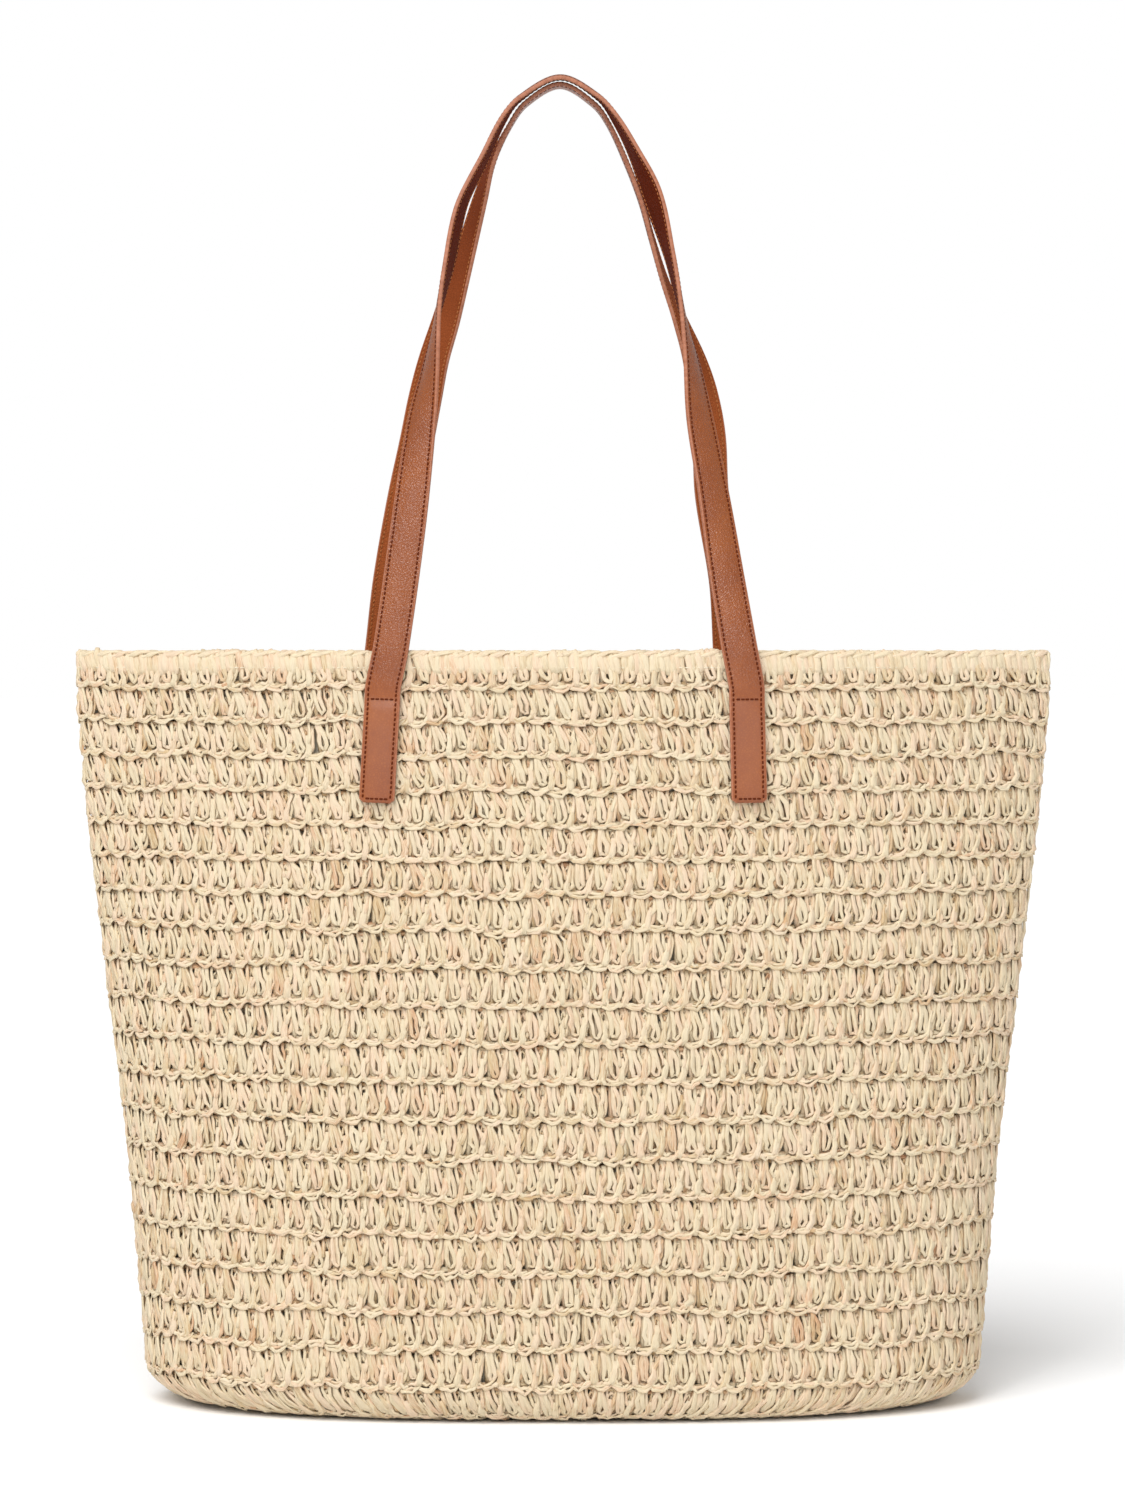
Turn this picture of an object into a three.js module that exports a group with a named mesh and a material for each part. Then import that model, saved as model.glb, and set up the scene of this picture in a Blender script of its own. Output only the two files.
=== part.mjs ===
// A crocheted paper-straw beach bag with two stitched leather-look handles.
// Millimetres, +Z up. The origin is the middle of the flat base, the front faces -Y.
// The bag, with its lining, tabs and snap, is one rigid group; each handle swings about the
// stitch line at the top of its two tabs.

import * as THREE from 'three';

// ---------- driving dimensions ----------

const HEIGHT = 374; // floor to the top of the rim
const CROCHET = 4; // thickness of the crocheted wall and base
const GAP = 0.3; // clearance between pieces that touch
const AROUND = 64; // corners in each horizontal outline

// The flat oval that the bag stands on, and the height of the rounded edge around it.
const BASE = { halfWidth: 172, halfDepth: 58, edgeHeight: 20 };

// Outlines of the wall: half width, half depth, and the two exponents of
// depth = halfDepth * (1 - (x / halfWidth) ^ square) ^ taper. A taper of 0.5 gives a round
// end, and one near 1 gives the pinched end of a soft mouth.
const OUTLINES = [
  { z: 20, halfWidth: 209, halfDepth: 74, square: 2.8, taper: 0.5 },
  { z: 60, halfWidth: 212.5, halfDepth: 77, square: 2.4, taper: 0.52 },
  { z: 130, halfWidth: 219, halfDepth: 79, square: 2.1, taper: 0.56 },
  { z: 210, halfWidth: 229, halfDepth: 77, square: 2, taper: 0.64 },
  { z: 290, halfWidth: 238.5, halfDepth: 70, square: 2, taper: 0.76 },
  { z: 350, halfWidth: 244, halfDepth: 64, square: 2, taper: 0.84 },
  { z: 374, halfWidth: 244, halfDepth: 62.5, square: 2, taper: 0.86 },
];

const EDGING = { radius: 2.25, sides: 6 }; // corded round of slip stitches on the rim

const LINING = { offset: 5.8, thickness: 0.8, top: 368 };
const HEM = { offset: 6.9, thickness: 0.8, low: 342, top: 368 };
const POCKET = { halfWidth: 75, low: 150, top: 280, gape: 18, thickness: 0.8, clear: 0.4 };

const STRAP = { width: 17.5, ply: 0.9, steps: 64 };
const TAB = { length: 50, corner: 2.2, standoff: 0.5 };
const PATCH = { width: 26, length: 56, thickness: 0.8, offset: 4.9 };
const HINGE = { z: 350, gap: 0.8 }; // stitch line that the handles fold at, and the gap each way

const SNAP = { z: 355, radius: 9, washerRadius: 7, washer: 0.8, backOffset: 8.1 };

// Tabs: how far across the top and bottom of each one is, and the side of the bag.
const TABS = [
  { name: 'front_left_tab', side: -1, top: -87.6, bottom: -90.2 },
  { name: 'front_right_tab', side: -1, top: 89.2, bottom: 90.2 },
  { name: 'back_left_tab', side: 1, top: -95.5, bottom: -97 },
  { name: 'back_right_tab', side: 1, top: 86.2, bottom: 86.8 },
];

// Handle routes, from the left tab over the top to the right tab. Each row is the distance
// across from the bag's middle, the lean towards the other handle, the rise above the hinge
// line, and the turn of the leather in degrees: 90 lies flat against the bag and 0 stands
// edge-on to the front.
const FRONT_ROUTE = [
  [-87.6, 0, 0.8, 82], [-87.3, 0, 6, 82], [-83.3, 0, 26, 83], [-76.1, 8, 79, 80],
  [-69.3, 20, 136, 53], [-66, 24, 157, 32], [-60.8, 31, 193, 0], [-56, 36, 217, -13],
  [-52.2, 40.5, 237.3, -14], [-48.5, 43.2, 249.2, -11], [-39.1, 46.6, 268.3, -8],
  [-29.8, 50, 288, -3], [-21.2, 52.4, 299, 3], [-1.5, 54, 309.4, 6.5], [17, 52.4, 299.8, 3],
  [26, 50, 288.5, -5], [34.8, 46.7, 272.1, -13], [44.5, 42.8, 249.1, -28],
  [52.7, 37.3, 219.7, -12], [58.2, 31, 192, 0], [63, 26.5, 168, 22], [67.4, 20, 136, 48],
  [73.4, 12, 101, 58], [79.7, 5.5, 60, 74], [85.4, 0, 26, 83], [89.1, 0, 6, 82],
  [89.2, 0, 0.8, 82],
];
const BACK_ROUTE = [
  [-95.5, 0, 0.8, 98], [-95.3, 0, 6, 98], [-92.7, 0, 29, 97], [-88.8, 5.5, 60, 91],
  [-81.3, 12, 101, 88], [-74.5, 19, 131, 85], [-70.4, 23, 151, 78], [-65.7, 27, 171, 62],
  [-59.3, 31, 191, 53], [-53.6, 35, 210.5, 43], [-47.5, 39, 231, 32], [-41.8, 43, 251, 24],
  [-36, 46.5, 269, 12], [-27.2, 50, 287, 5], [-18.8, 52.2, 298, 3], [-1.5, 54, 307, 2.5],
  [15.2, 52.2, 298, 3], [23.2, 50, 288, 4], [32.2, 46.5, 269, 5], [39.6, 43, 250, 5],
  [45.2, 39, 231, 7], [51.4, 35, 211, 12], [59.4, 31, 191, 24], [66.8, 27, 171, 42],
  [71.5, 23, 151, 68], [74.5, 19, 131, 86], [76.3, 12, 103, 89], [83.6, 5.5, 60, 91],
  [85.7, 0, 29, 97], [86.2, 0, 6, 98], [86.2, 0, 0.8, 98],
];

// ---------- materials ----------

function material(color, roughness, metalness = 0) {
  return new THREE.MeshStandardMaterial({ color, roughness, metalness });
}

const STRAW = material(0xdecba8, 0.85);
const STRAW_EDGE = material(0xe6d9bd, 0.85);
const COTTON = material(0xeee6d4, 0.9);
const COTTON_BAND = material(0xe9dfca, 0.9);
const FELT = material(0xe2dccd, 0.95);
const LEATHER = material(0xaa653f, 0.5);
const LEATHER_BACK = material(0x94552f, 0.65);
const BRASS = material(0xb08d57, 0.35, 0.9);
const MAGNET = material(0x57585c, 0.45, 0.8);

// ---------- geometry helpers ----------

function lerp(a, b, t) {
  return a + (b - a) * t;
}

function signedVolume(points, faces) {
  let sum = 0;
  for (const [a, b, c] of faces) {
    sum += points[a].dot(new THREE.Vector3().crossVectors(points[b], points[c]));
  }
  return sum / 6;
}

// An indexed geometry whose faces point out of the solid.
function solidGeometry(points, faces) {
  const inward = signedVolume(points, faces) < 0;
  const index = faces.flatMap(([a, b, c]) => (inward ? [a, c, b] : [a, b, c]));
  const geometry = new THREE.BufferGeometry();
  geometry.setFromPoints(points);
  geometry.setIndex(index);
  geometry.computeVertexNormals();
  return geometry;
}

// A solid from closed rings of points, each joined to the next. A looped row of rings closes
// on itself like a tyre; otherwise the first and last rings are capped from their middles.
function loft(rings, looped) {
  const count = rings[0].length;
  const points = rings.flat();
  const faces = [];
  const joins = looped ? rings.length : rings.length - 1;
  for (let r = 0; r < joins; r++) {
    const low = r * count;
    const high = ((r + 1) % rings.length) * count;
    for (let i = 0; i < count; i++) {
      const j = (i + 1) % count;
      faces.push([low + i, low + j, high + j], [low + i, high + j, high + i]);
    }
  }
  if (!looped) {
    addCap(points, faces, 0, count, false);
    addCap(points, faces, (rings.length - 1) * count, count, true);
  }
  return solidGeometry(points, faces);
}

function addCap(points, faces, first, count, last) {
  const middle = new THREE.Vector3();
  for (let i = 0; i < count; i++) {
    middle.add(points[first + i]);
  }
  points.push(middle.divideScalar(count));
  const centre = points.length - 1;
  for (let i = 0; i < count; i++) {
    const a = first + i;
    const b = first + ((i + 1) % count);
    faces.push(last ? [centre, a, b] : [centre, b, a]);
  }
}

// A solid sheet between two grids of points that have the same rows and columns.
function sheet(front, back) {
  const rows = front.length;
  const columns = front[0].length;
  const points = [...front.flat(), ...back.flat()];
  const half = rows * columns;
  const faces = [];
  const at = (r, c) => r * columns + c;
  for (let r = 0; r < rows - 1; r++) {
    for (let c = 0; c < columns - 1; c++) {
      const quad = [at(r, c), at(r, c + 1), at(r + 1, c + 1), at(r + 1, c)];
      faces.push([quad[0], quad[1], quad[2]], [quad[0], quad[2], quad[3]]);
      const [p, q, s, t] = quad.map((i) => i + half);
      faces.push([p, s, q], [p, t, s]);
    }
  }
  const border = [];
  for (let c = 0; c < columns - 1; c++) {
    border.push([at(0, c), at(0, c + 1)]);
  }
  for (let r = 0; r < rows - 1; r++) {
    border.push([at(r, columns - 1), at(r + 1, columns - 1)]);
  }
  for (let c = columns - 1; c > 0; c--) {
    border.push([at(rows - 1, c), at(rows - 1, c - 1)]);
  }
  for (let r = rows - 1; r > 0; r--) {
    border.push([at(r, 0), at(r - 1, 0)]);
  }
  for (const [a, b] of border) {
    faces.push([b, a, a + half], [b, a + half, b + half]);
  }
  return solidGeometry(points, faces);
}

// ---------- the bag's shape ----------

// The outline's numbers at a height above the rounded edge of the base.
function outlineAt(z) {
  const last = OUTLINES.length - 1;
  let i = 0;
  while (i < last - 1 && z > OUTLINES[i + 1].z) {
    i++;
  }
  const low = OUTLINES[i];
  const high = OUTLINES[i + 1];
  const t = (z - low.z) / (high.z - low.z);
  return {
    halfWidth: lerp(low.halfWidth, high.halfWidth, t),
    halfDepth: lerp(low.halfDepth, high.halfDepth, t),
    square: lerp(low.square, high.square, t),
    taper: lerp(low.taper, high.taper, t),
  };
}

function depthOf(outline, offset, x) {
  const share = Math.min(1, Math.abs(x) / (outline.halfWidth - offset));
  return (outline.halfDepth - offset) * (1 - share ** outline.square) ** outline.taper;
}

function ring(outline, offset, z) {
  const points = [];
  for (let i = 0; i < AROUND; i++) {
    const angle = (i / AROUND) * 2 * Math.PI;
    const x = (outline.halfWidth - offset) * Math.cos(angle);
    const depth = i % (AROUND / 2) === 0 ? 0 : depthOf(outline, offset, x);
    points.push(new THREE.Vector3(x, Math.sign(Math.sin(angle)) * depth, z));
  }
  return points;
}

// Rings of a surface inside the bag's outer surface, up its rounded edge and its wall.
function wallRings(offset, top) {
  const rings = [];
  const edge = OUTLINES[0];
  const edgeSteps = 4;
  for (let i = 0; i < edgeSteps; i++) {
    const angle = (i / edgeSteps) * (Math.PI / 2);
    const out = Math.sin(angle);
    const outline = {
      halfWidth: lerp(BASE.halfWidth, edge.halfWidth - offset, out),
      halfDepth: lerp(BASE.halfDepth, edge.halfDepth - offset, out),
      square: edge.square,
      taper: edge.taper,
    };
    const z = offset + (edge.z - offset) * (1 - Math.cos(angle));
    rings.push(ring(outline, 0, z));
  }
  for (const { z } of OUTLINES) {
    if (z < top - 1) {
      rings.push(ring(outlineAt(z), offset, z));
    }
  }
  rings.push(ring(outlineAt(top), offset, top));
  return rings;
}

function wallSolid(offset, thickness, top) {
  const outer = wallRings(offset, top);
  const inner = wallRings(offset + thickness, top).reverse();
  return loft([...outer, ...inner], true);
}

// A point on a surface inside the outer one; side is -1 at the front and 1 at the back.
function wallPoint(side, offset, x, z) {
  return new THREE.Vector3(x, side * depthOf(outlineAt(z), offset, x), z);
}

// Puts a mesh on the wall: its own +Z along the outward normal and its +Y up the wall.
function placeOnWall(piece, side, offset, x, z, uphill) {
  const here = wallPoint(side, offset, x, z);
  const step = 4;
  const across = wallPoint(side, offset, x + step, z).sub(wallPoint(side, offset, x - step, z));
  const up = wallPoint(side, offset, x, z + step).sub(wallPoint(side, offset, x, z - step));
  up.addScaledVector(across.clone().normalize(), uphill * up.length());
  const normal = new THREE.Vector3().crossVectors(up, across).multiplyScalar(side).normalize();
  up.normalize();
  const right = new THREE.Vector3().crossVectors(up, normal);
  piece.quaternion.setFromRotationMatrix(new THREE.Matrix4().makeBasis(right, up, normal));
  piece.position.copy(here);
  return piece;
}

// ---------- crochet ----------

function crochetWall() {
  const top = HEIGHT - 2 * EDGING.radius - GAP;
  return wallSolid(0, CROCHET, top);
}

function ovalPlate(inset, low, high) {
  const outline = { ...OUTLINES[0], halfWidth: BASE.halfWidth, halfDepth: BASE.halfDepth };
  return loft([ring(outline, inset, low), ring(outline, inset, high)], false);
}

function crochetBase() {
  return ovalPlate(GAP, 0, CROCHET);
}

// The corded round on the rim: a many-sided tube that follows the mouth.
function rimEdging() {
  const path = ring(outlineAt(HEIGHT), CROCHET / 2, HEIGHT - EDGING.radius);
  const rings = path.map((point, i) => {
    const before = path[(i + AROUND - 1) % AROUND];
    const after = path[(i + 1) % AROUND];
    const along = after.clone().sub(before).normalize();
    const out = new THREE.Vector3(along.y, -along.x, 0);
    const section = [];
    for (let k = 0; k < EDGING.sides; k++) {
      const angle = ((k + 0.5) / EDGING.sides) * 2 * Math.PI;
      const corner = point.clone().addScaledVector(out, EDGING.radius * Math.cos(angle));
      corner.z += EDGING.radius * Math.sin(angle);
      section.push(corner);
    }
    return section;
  });
  return loft(rings, true);
}

// ---------- lining ----------

function liningWall() {
  return wallSolid(LINING.offset, LINING.thickness, LINING.top);
}

function liningBase() {
  const low = CROCHET + GAP;
  return ovalPlate(GAP, low, low + LINING.thickness);
}

function liningHem() {
  const bands = [
    ring(outlineAt(HEM.low), HEM.offset, HEM.low),
    ring(outlineAt(HEM.top), HEM.offset, HEM.top),
    ring(outlineAt(HEM.top), HEM.offset + HEM.thickness, HEM.top),
    ring(outlineAt(HEM.low), HEM.offset + HEM.thickness, HEM.low),
  ];
  return loft(bands, true);
}

// A patch pocket on the back lining: sewn at the sides and bottom, gaping at the top.
function slipPocket() {
  const columns = 12;
  const rows = 6;
  const near = [];
  const far = [];
  const offset = LINING.offset + LINING.thickness + POCKET.clear;
  for (let r = 0; r <= rows; r++) {
    const up = r / rows;
    const z = lerp(POCKET.low, POCKET.top, up);
    const nearRow = [];
    const farRow = [];
    for (let c = 0; c <= columns; c++) {
      const share = (2 * c) / columns - 1;
      const gape = POCKET.gape * Math.sin((up * Math.PI) / 2) * (1 - share ** 4);
      const point = wallPoint(1, offset, share * POCKET.halfWidth, z);
      farRow.push(new THREE.Vector3(point.x, point.y - gape, z));
      nearRow.push(new THREE.Vector3(point.x, point.y - gape - POCKET.thickness, z));
    }
    near.push(nearRow);
    far.push(farRow);
  }
  return sheet(near, far);
}

// ---------- tabs and patches ----------

function roundedPlate(width, length, thickness, corner) {
  const w = width / 2 - corner;
  const l = length / 2 - corner;
  const outline = new THREE.Shape();
  outline.absarc(w, l, corner, 0, Math.PI / 2, false);
  outline.absarc(-w, l, corner, Math.PI / 2, Math.PI, false);
  outline.absarc(-w, -l, corner, Math.PI, 1.5 * Math.PI, false);
  outline.absarc(w, -l, corner, 1.5 * Math.PI, 2 * Math.PI, false);
  return new THREE.ExtrudeGeometry(outline, { depth: thickness, bevelEnabled: false, curveSegments: 4 });
}

function named(name, geometry, look) {
  const mesh = new THREE.Mesh(geometry, look);
  mesh.name = name;
  return mesh;
}

function addTab(group, tab) {
  const length = TAB.length - HINGE.gap;
  const z = HINGE.z - HINGE.gap - length / 2;
  const x = (tab.top + tab.bottom) / 2;
  const uphill = (tab.top - tab.bottom) / TAB.length;
  const plies = [
    ['backing', TAB.standoff, LEATHER_BACK],
    ['face', TAB.standoff + STRAP.ply + GAP, LEATHER],
  ];
  for (const [ply, height, look] of plies) {
    const plate = roundedPlate(STRAP.width, length, STRAP.ply, TAB.corner);
    plate.translate(0, 0, height);
    group.add(placeOnWall(named(`${tab.name}_${ply}`, plate, look), tab.side, 0, x, z, uphill));
  }
  const patch = roundedPlate(PATCH.width, PATCH.length, PATCH.thickness, TAB.corner);
  patch.translate(0, 0, -PATCH.thickness / 2);
  const patchName = tab.name.replace('_tab', '_patch');
  group.add(placeOnWall(named(patchName, patch, FELT), tab.side, PATCH.offset, x, z, uphill));
}

// ---------- handles ----------

// Rows of numbers along a smooth curve through the given rows, spaced by distance.
function smoothRows(rows, steps) {
  const knots = [0];
  for (let i = 1; i < rows.length; i++) {
    const [a, b] = [rows[i - 1], rows[i]];
    knots.push(knots[i - 1] + Math.hypot(b[0] - a[0], b[1] - a[1], b[2] - a[2]));
  }
  const slopes = rows.map((row, i) => {
    const before = Math.max(0, i - 1);
    const after = Math.min(rows.length - 1, i + 1);
    return row.map((_, k) => (rows[after][k] - rows[before][k]) / (knots[after] - knots[before]));
  });
  const smooth = [];
  let i = 0;
  for (let s = 0; s <= steps; s++) {
    const at = (s / steps) * knots[knots.length - 1];
    while (i < rows.length - 2 && at > knots[i + 1]) {
      i++;
    }
    const span = knots[i + 1] - knots[i];
    const t = (at - knots[i]) / span;
    const [h0, h1] = [(1 + 2 * t) * (1 - t) ** 2, t * (1 - t) ** 2];
    const [h2, h3] = [t * t * (3 - 2 * t), t * t * (t - 1)];
    smooth.push(rows[i].map((value, k) =>
      h0 * value + h1 * span * slopes[i][k] + h2 * rows[i + 1][k] + h3 * span * slopes[i + 1][k]));
  }
  return smooth;
}

// The middle of the strap's thickness where it leaves the tabs, as a distance from the bag's
// middle plane.
function hingeDepth() {
  const across = (FRONT_ROUTE[FRONT_ROUTE.length - 1][0] - FRONT_ROUTE[0][0]) / 2;
  return depthOf(outlineAt(HINGE.z), 0, across) + TAB.standoff + STRAP.ply + GAP / 2;
}

// Frames along a handle: the middle point, the direction to the near edge, and the normal
// of the finished face.
function handleFrames(route, side) {
  const rows = smoothRows(route, STRAP.steps);
  const points = rows.map(([across, lean, rise]) =>
    new THREE.Vector3(across, side * (hingeDepth() - lean), HINGE.z + rise));
  const front = new THREE.Vector3(0, -1, 0);
  return points.map((point, i) => {
    const before = points[Math.max(0, i - 1)];
    const after = points[Math.min(points.length - 1, i + 1)];
    const along = after.clone().sub(before).normalize();
    const near = front.clone().addScaledVector(along, -front.dot(along)).normalize();
    near.applyAxisAngle(along, THREE.MathUtils.degToRad(rows[i][3]));
    const face = new THREE.Vector3().crossVectors(near, along).multiplyScalar(-side);
    return { point, near, face };
  });
}

// One ply of a handle, from its inner to its outer surface, as distances from the middle
// towards the finished face.
function strapPly(frames, inner, outer) {
  const half = STRAP.width / 2;
  const surface = (up) => frames.map(({ point, near, face }) => [-half, half].map((across) =>
    point.clone().addScaledVector(near, across).addScaledVector(face, up)));
  return sheet(surface(inner), surface(outer));
}

function addHandle(group, name, route, side) {
  const frames = handleFrames(route, side);
  const inner = GAP / 2;
  const outer = GAP / 2 + STRAP.ply;
  group.add(named(`${name}_face`, strapPly(frames, inner, outer), LEATHER));
  group.add(named(`${name}_backing`, strapPly(frames, -inner, -outer), LEATHER_BACK));
}

// ---------- magnetic snap ----------

// A turned solid about its own Z, from rings given as [radius, depth into the bag].
function turned(section, looped) {
  const sides = 20;
  const rings = section.map(([radius, depth]) => {
    const circle = [];
    for (let i = 0; i < sides; i++) {
      const angle = (i / sides) * 2 * Math.PI;
      circle.push(new THREE.Vector3(radius * Math.cos(angle), radius * Math.sin(angle), -depth));
    }
    return circle;
  });
  return loft(rings, looped);
}

function addSnap(group) {
  const shell = 0.7;
  const hole = 3.6;
  const rim = SNAP.radius - shell;
  const casing = turned([
    [SNAP.radius, 0], [SNAP.radius, 3], [hole, 3], [hole, 3 - shell], [rim, 3 - shell], [rim, 0],
  ], true);
  const magnet = turned([
    [rim - GAP, 0.1], [rim - GAP, 2], [hole + GAP, 2], [hole + GAP, 0.1],
  ], true);
  const stud = turned([[SNAP.radius, 0], [SNAP.radius, 1.2], [3.2, 1.2], [3.2, 3.2]], false);
  const washer = turned([
    [SNAP.washerRadius, -SNAP.washer / 2], [SNAP.washerRadius, SNAP.washer / 2],
  ], false);
  const pieces = [
    ['snap_socket_casing', casing, BRASS, -1, SNAP.backOffset],
    ['snap_socket_magnet', magnet, MAGNET, -1, SNAP.backOffset],
    ['snap_socket_washer', washer, BRASS, -1, PATCH.offset],
    ['snap_stud_plate', stud, BRASS, 1, SNAP.backOffset],
    ['snap_stud_washer', washer, BRASS, 1, PATCH.offset],
  ];
  for (const [name, geometry, look, side, offset] of pieces) {
    group.add(placeOnWall(named(name, geometry, look), side, offset, 0, SNAP.z, 0));
  }
}

// ---------- assembly ----------

const bag = new THREE.Group();
bag.add(
  named('crochet_wall', crochetWall(), STRAW),
  named('crochet_base', crochetBase(), STRAW),
  named('rim_edging', rimEdging(), STRAW_EDGE),
  named('lining_wall', liningWall(), COTTON),
  named('lining_base', liningBase(), COTTON),
  named('lining_hem', liningHem(), COTTON_BAND),
  named('slip_pocket', slipPocket(), COTTON),
);
for (const tab of TABS) {
  addTab(bag, tab);
}
addSnap(bag);

const frontHandle = new THREE.Group();
addHandle(frontHandle, 'front_handle', FRONT_ROUTE, -1);

const backHandle = new THREE.Group();
addHandle(backHandle, 'back_handle', BACK_ROUTE, 1);

const beachBag = new THREE.Group();
beachBag.add(bag, frontHandle, backHandle);

export default beachBag;
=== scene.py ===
"""A crocheted paper-straw beach bag with two stitched leather handles.

The bag's shape is worked out in millimetres and written to Blender in metres. Its crochet is
real strands: one stitch is up to 16 short flattened tubes, and every stitch of every course is
laid on the bag's curved surface with its own small differences.
"""

import math

import bpy
import numpy as np
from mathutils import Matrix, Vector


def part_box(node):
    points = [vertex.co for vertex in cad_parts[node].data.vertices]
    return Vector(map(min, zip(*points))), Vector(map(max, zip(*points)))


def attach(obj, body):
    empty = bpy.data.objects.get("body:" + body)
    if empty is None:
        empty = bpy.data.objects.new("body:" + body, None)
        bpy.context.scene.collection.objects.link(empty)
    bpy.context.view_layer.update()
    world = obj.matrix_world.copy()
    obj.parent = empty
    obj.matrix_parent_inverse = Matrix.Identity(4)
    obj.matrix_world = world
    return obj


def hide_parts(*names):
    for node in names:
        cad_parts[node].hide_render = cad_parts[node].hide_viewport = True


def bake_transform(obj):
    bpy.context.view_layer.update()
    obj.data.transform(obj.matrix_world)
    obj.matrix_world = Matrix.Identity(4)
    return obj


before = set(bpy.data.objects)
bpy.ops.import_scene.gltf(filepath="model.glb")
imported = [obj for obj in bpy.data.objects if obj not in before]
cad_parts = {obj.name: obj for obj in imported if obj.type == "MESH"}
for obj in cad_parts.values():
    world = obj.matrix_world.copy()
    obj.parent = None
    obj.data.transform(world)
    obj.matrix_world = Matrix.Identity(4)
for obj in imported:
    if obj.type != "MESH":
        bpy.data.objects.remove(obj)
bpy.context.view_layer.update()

MM = 0.001
RNG = np.random.default_rng(20)

# ---------- driving dimensions, in millimetres ----------

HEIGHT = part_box("rim_edging")[1][2] / MM
FLOOR_CLEAR = 0.15  # how far the lowest strands stay above the floor

# The flat oval that the bag stands on, and the rounded edge around it.
BASE_HALF_WIDTH = 172
BASE_HALF_DEPTH = 58
EDGE_HEIGHT = 20
EDGE_LENGTH = 28  # along the rounded edge, from the wall to the flat oval

# Outlines of the wall: height, half width, half depth, squareness and taper of
# depth = half_depth * (1 - (x / half_width) ** square) ** taper.
OUTLINES = np.array((
    (20, 209, 74, 2.8, 0.5),
    (60, 212.5, 77, 2.4, 0.52),
    (130, 219, 79, 2.1, 0.56),
    (210, 229, 77, 2.0, 0.64),
    (290, 238.5, 70, 2.0, 0.76),
    (350, 244, 64, 2.0, 0.84),
    (374, 244, 62.5, 2.0, 0.86),
))
FOLD_RADIUS = 5  # how far the outlines are rounded off at the bag's side folds

# The surface is a grid of rings. A place on it is a share of the way around, from the
# middle of the front to the right, and a distance down: the height on the wall, then on
# below nothing around the rounded edge and under the base.
RING_STEP = 2
RING_POINTS = 412
GRID_TOP = 384
GRID_END = EDGE_HEIGHT - EDGE_LENGTH - BASE_HALF_DEPTH

# Crochet.
STITCHES = 103
FIRST_RIDGE = 18.2  # height of the lowest ridge, at the foot of the wall
TALL_COURSE = 18.43
SHORT_COURSE = 16.58  # courses near the mouth are packed closer
WALL_COURSES = 20
BASE_COURSES = 3
CLOSING_GAP = 1  # from the base's last ridge to its middle line
SINK = -2.6  # from the crest of the ridges to the surface that the strands are laid on

# Linings. The insets are distances in from the crest of the ridges.
LINING_INSET = 5.8
HEM_INSET = 6.9
CLOTH = 0.8
LINING_TOP = 368
HEM_LOW = 342
SLACK_TOP = HEM_LOW - 2  # where the lining's slack begins
SLACK_RISE = 30  # and how much lower it is full
POCKET_HALF_WIDTH = 75
POCKET_LOW = 150
POCKET_TOP = 280
POCKET_GAPE = 18
POCKET_LAYER = 9  # sets the pocket's weave apart from the lining's
PATCH_HALF_WIDTH = 13
PATCH_MARGIN = 3
PATCH_INSETS = (5.45, 5.95)
CLOTH_STEP = 4  # between the rows of a ring of cloth
CLOTH_COLUMNS = 360

# Handles.
STRAP_HALF = 8.75
STRAP_HALF_THICK = 1.05
HINGE_Z = 350
TAB_END = 300
TAB_STANDOFF = 0.5
STITCH_INSET = 1.9
STITCH_PITCH = 2.35
STITCH_WOBBLE = 0.12  # how far a stitch leans off its line at each end
STRAP_STEP = 1.6  # between the strap's sections
TAB_CORNER = 2.2  # radius
CROWN_HALF = 6.3  # half width of the padded middle
CROWN_TAB = 0.1  # how far the middle stands up on the tabs
CROWN_STRAP = 0.7  # and how much more on the strap, from CROWN_RISE above the stitch line
CROWN_RISE = 9


# ---------- the bag's surface ----------

def smooth_step(low, high, x):
    t = np.clip((x - low) / (high - low), 0, 1)
    return t * t * (3 - 2 * t)


def hermite(rows, knots, at):
    """Values of smooth curves through rows at knots, at each number in at."""
    rows, knots = np.asarray(rows, float), np.asarray(knots, float)
    after = np.minimum(np.arange(len(rows)) + 1, len(rows) - 1)
    before = np.maximum(np.arange(len(rows)) - 1, 0)
    slopes = (rows[after] - rows[before]) / (knots[after] - knots[before])[:, None]
    i = np.clip(np.searchsorted(knots, at) - 1, 0, len(knots) - 2)
    span = (knots[i + 1] - knots[i])[:, None]
    t = (np.asarray(at) - knots[i])[:, None] / span
    ends = (1 + 2 * t) * (1 - t) ** 2 * rows[i] + t * t * (3 - 2 * t) * rows[i + 1]
    return ends + span * (t * (1 - t) ** 2 * slopes[i] + t * t * (t - 1) * slopes[i + 1])


def outline(q):
    """Half width, half depth, squareness, taper and height of the ring at distance q."""
    z = min(max(q, EDGE_HEIGHT), OUTLINES[-1, 0])
    wide, deep, square, taper = hermite(OUTLINES[:, 1:], OUTLINES[:, 0], [z])[0]
    if q >= EDGE_HEIGHT:
        return wide, deep, square, taper, q
    flat_at = EDGE_HEIGHT - EDGE_LENGTH
    if q >= flat_at:
        angle = math.pi / 2 * (q - flat_at) / EDGE_LENGTH
        out = math.sin(angle)
        wide = BASE_HALF_WIDTH + (wide - BASE_HALF_WIDTH) * out
        deep = BASE_HALF_DEPTH + (deep - BASE_HALF_DEPTH) * out
        return wide, deep, square, taper, EDGE_HEIGHT * (1 - math.cos(angle))
    inset = min(flat_at - q, BASE_HALF_DEPTH - 0.5)
    return BASE_HALF_WIDTH - inset, BASE_HALF_DEPTH - inset, square, taper, 0


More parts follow.
